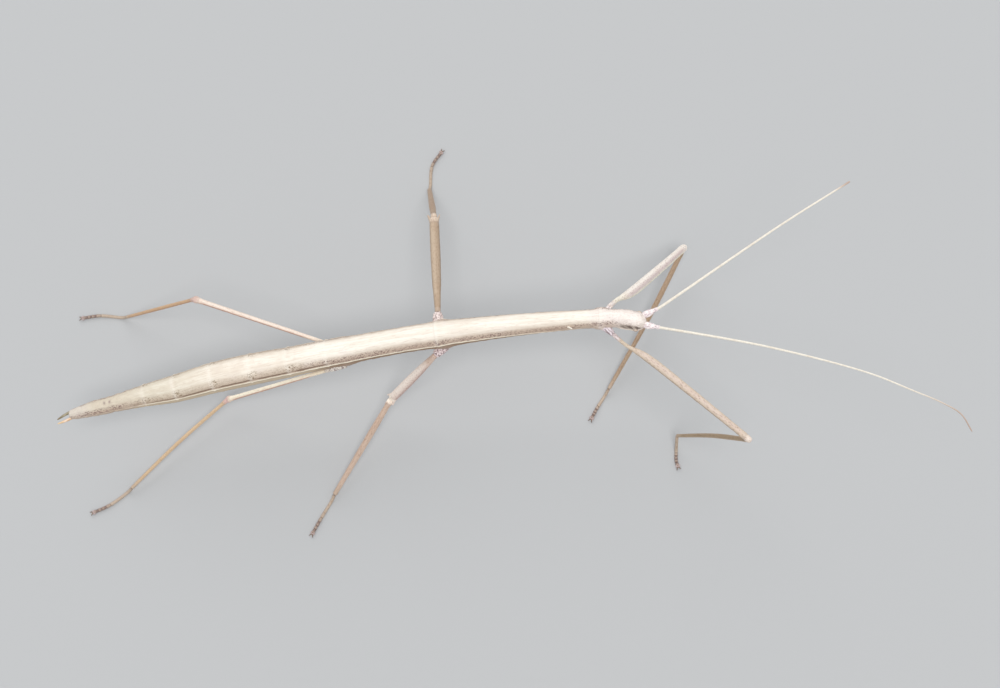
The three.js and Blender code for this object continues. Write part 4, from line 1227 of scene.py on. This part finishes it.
def makeMouth():
    start, forward, left, up = onBody("head", mouthForm["along"], 0, -mouthForm["sink"])
    line = forward * mouthForm["reach"] - up * mouthForm["drop"]
    end = start + line
    wide, deep = mouthForm["width"], mouthForm["depth"]
    shells = []

    def add(points, rows, rings, sides, ends, shape, dark):
        tube, s, _, straight = limb(points, rows, rings, sides, ends, shape)
        shells.append(Shell(tube, strand=straight, darkMark=dark * (s / s.max())))

    def wedgeShape(s, v, half):
        return 0.02 * lumps(roundSpots(s, v, half), 0.3, 61) - 0.06 * bell(s - 0.95, 0.06)

    rows = [(0, wide, deep), (0.5, wide * 0.92, deep * 0.9), (0.8, wide * 0.72, deep * 0.72),
            (1, wide * 0.5, deep * 0.5)]
    add([start, start + line / 2, end], rows, 44, 36, (0.1, 0.35), wedgeShape, 0.3)
    # jaws: a rounded plate on each side of the wedge's tip
    for sign in (1, -1):
        base = start + line * 0.55 + left * sign * wide * 0.3
        tip = end + left * sign * 0.1 - up * 0.02
        rows = [(0, 0.5, 0.5), (0.5, 0.46, 0.46), (1, 0.2, 0.24)]
        add([base, (base + tip) / 2 + left * sign * 0.14, tip], rows, 24, 20, (0.1, 0.1), None, 1.0)
    for at, out, drop, reach, dip, thick in mouthForm["palps"]:
        for sign in (1, -1):
            root = start + line * at + left * sign * out / 2
            elbow = root + left * sign * out / 2 - up * drop
            tip = elbow + forward * reach - up * dip

            def palpShape(s, v, half):
                return -0.035 * sum(bell(s - s.max() * border, 0.05) for border in (0.2, 0.4, 0.66))

            rows = [(0, thick * 0.9, thick * 0.9), (0.7, thick, thick), (1, thick * 0.7, thick * 0.7)]
            add([root, elbow, tip], rows, 50, 16, (0.06, 0.14), palpShape, 0.4)
    makePiece("mouth", shells, mouthFinish(), "mouthparts", ["mouthparts"])


def mouthFinish():
    look = Finish("mouthCuticle", 0.45, mouthPaint, "pale")
    grain = look.noise(5.0, 4.0)
    look.lay(grain.between(0.35, 0.65), "brown")
    look.lay(look.attribute("darkMark") * 0.8, "dark")
    return look.finish(0.4 + grain * 0.2, (grain, 0.00002, 0.6))


makeMouth()


tailForm = {
    "shieldLength": 4.9, "shieldWidth": 1.7, "shieldKeel": (0.5, 0.32), "shieldWall": 0.3,
    "shieldAhead": 0.6, "shieldDepths": (0.8, 0.95),
    "cercusAlong": 0.84, "cercusLength": 2.55, "cercusOut": 0.33,
    # how far each cercus leans inwards, in degrees, and its horn
    "cerci": {"left": (16, "olivineHorn"), "right": (8, "amberHorn")},
    "cercusRows": [(0, 0.46, 0.4), (0.25, 0.44, 0.4), (0.6, 0.38, 0.34), (0.9, 0.24, 0.2),
                   (1, 0.12, 0.1)],
}
shieldPaint = palette(brown=(180, 148, 122), pale=(206, 178, 150), speck=(112, 84, 68))


def makeShield():
    # the boat-shaped plate under the eighth and ninth rings
    depths = [-body["ventralDepth"] * depth for depth in tailForm["shieldDepths"]]
    first, forward = onBody("abdomen_8", 0, 0, depths[0])[:2]
    first = first + forward * tailForm["shieldAhead"]
    line = unit(onBody("abdomen_9", 1, 0, depths[1])[0] - first)
    shares = np.linspace(0, 1, 70)[:, None]
    distance = shares * tailForm["shieldLength"]
    centres = first + line * distance
    v = (np.arange(40) * 9.0)[None, :]
    half = tailForm["shieldWidth"] / 2 * np.sqrt(np.clip(1 - shares ** 3, 0.001, 1))
    half = half * np.sqrt(np.clip(1 - (1 - np.clip(shares / 0.08, 0, 1)) ** 2, 0.01, 1))
    keel = np.interp(shares, [0, 1], tailForm["shieldKeel"])
    keel = keel * np.sqrt(np.clip(1 - shares ** 6, 0.01, 1))
    deep = np.where(np.sin(np.radians(v)) > 0, tailForm["shieldWall"], keel)
    spots = roundSpots(distance, v, half, deep)
    added = 0.03 * lumps(spots, 0.4, 71) + 0.03 * band(v, 270, 12)
    rings = ringTube(centres, np.broadcast_to(line, centres.shape), v, half + added * half, deep + added)
    makePiece("shield", [Shell(rings, strand=spots)], shieldFinish(), "operculum", ["operculum"])


def shieldFinish():
    look = Finish("shieldCuticle", 0.4, shieldPaint, "brown")
    grain = look.noise((1.0, 5.0, 5.0), 4.0, 0.65)
    look.lay(grain.between(0.35, 0.65), "pale")
    look.lay(look.noise(4.0, 2.0, 0.7).between(0.52, 0.62) * 0.55, "speck")
    return look.finish(0.45 + grain * 0.2, (grain, 0.00004, 0.8))


def makeCercus(hand, sign):
    # a short blade: flat, tapering, a little curved inwards
    along, out, length = (tailForm["cercus" + key] for key in ("Along", "Out", "Length"))
    start, forward, left = onBody("abdomen_10", along, sign * out, 0)[:3]
    degrees, horn = tailForm["cerci"][hand]
    lean = math.radians(degrees)
    end = start - (forward * math.cos(lean) + left * math.sin(lean)) * length
    middle = (start + end) / 2 + left * sign * 0.06
    points = [start, middle, end]
    tube, s, _, straight = limb(points, tailForm["cercusRows"], 60, 24, (0.1, 0.1))
    shell = Shell(tube, strand=straight, tipMark=s / s.max())
    makePiece(hand + "Cercus", [shell], hornFinishes[horn], "horn", [f"cercus_{hand}"])


makeShield()
for cercusHand, cercusSign in hands.items():
    makeCercus(cercusHand, cercusSign)
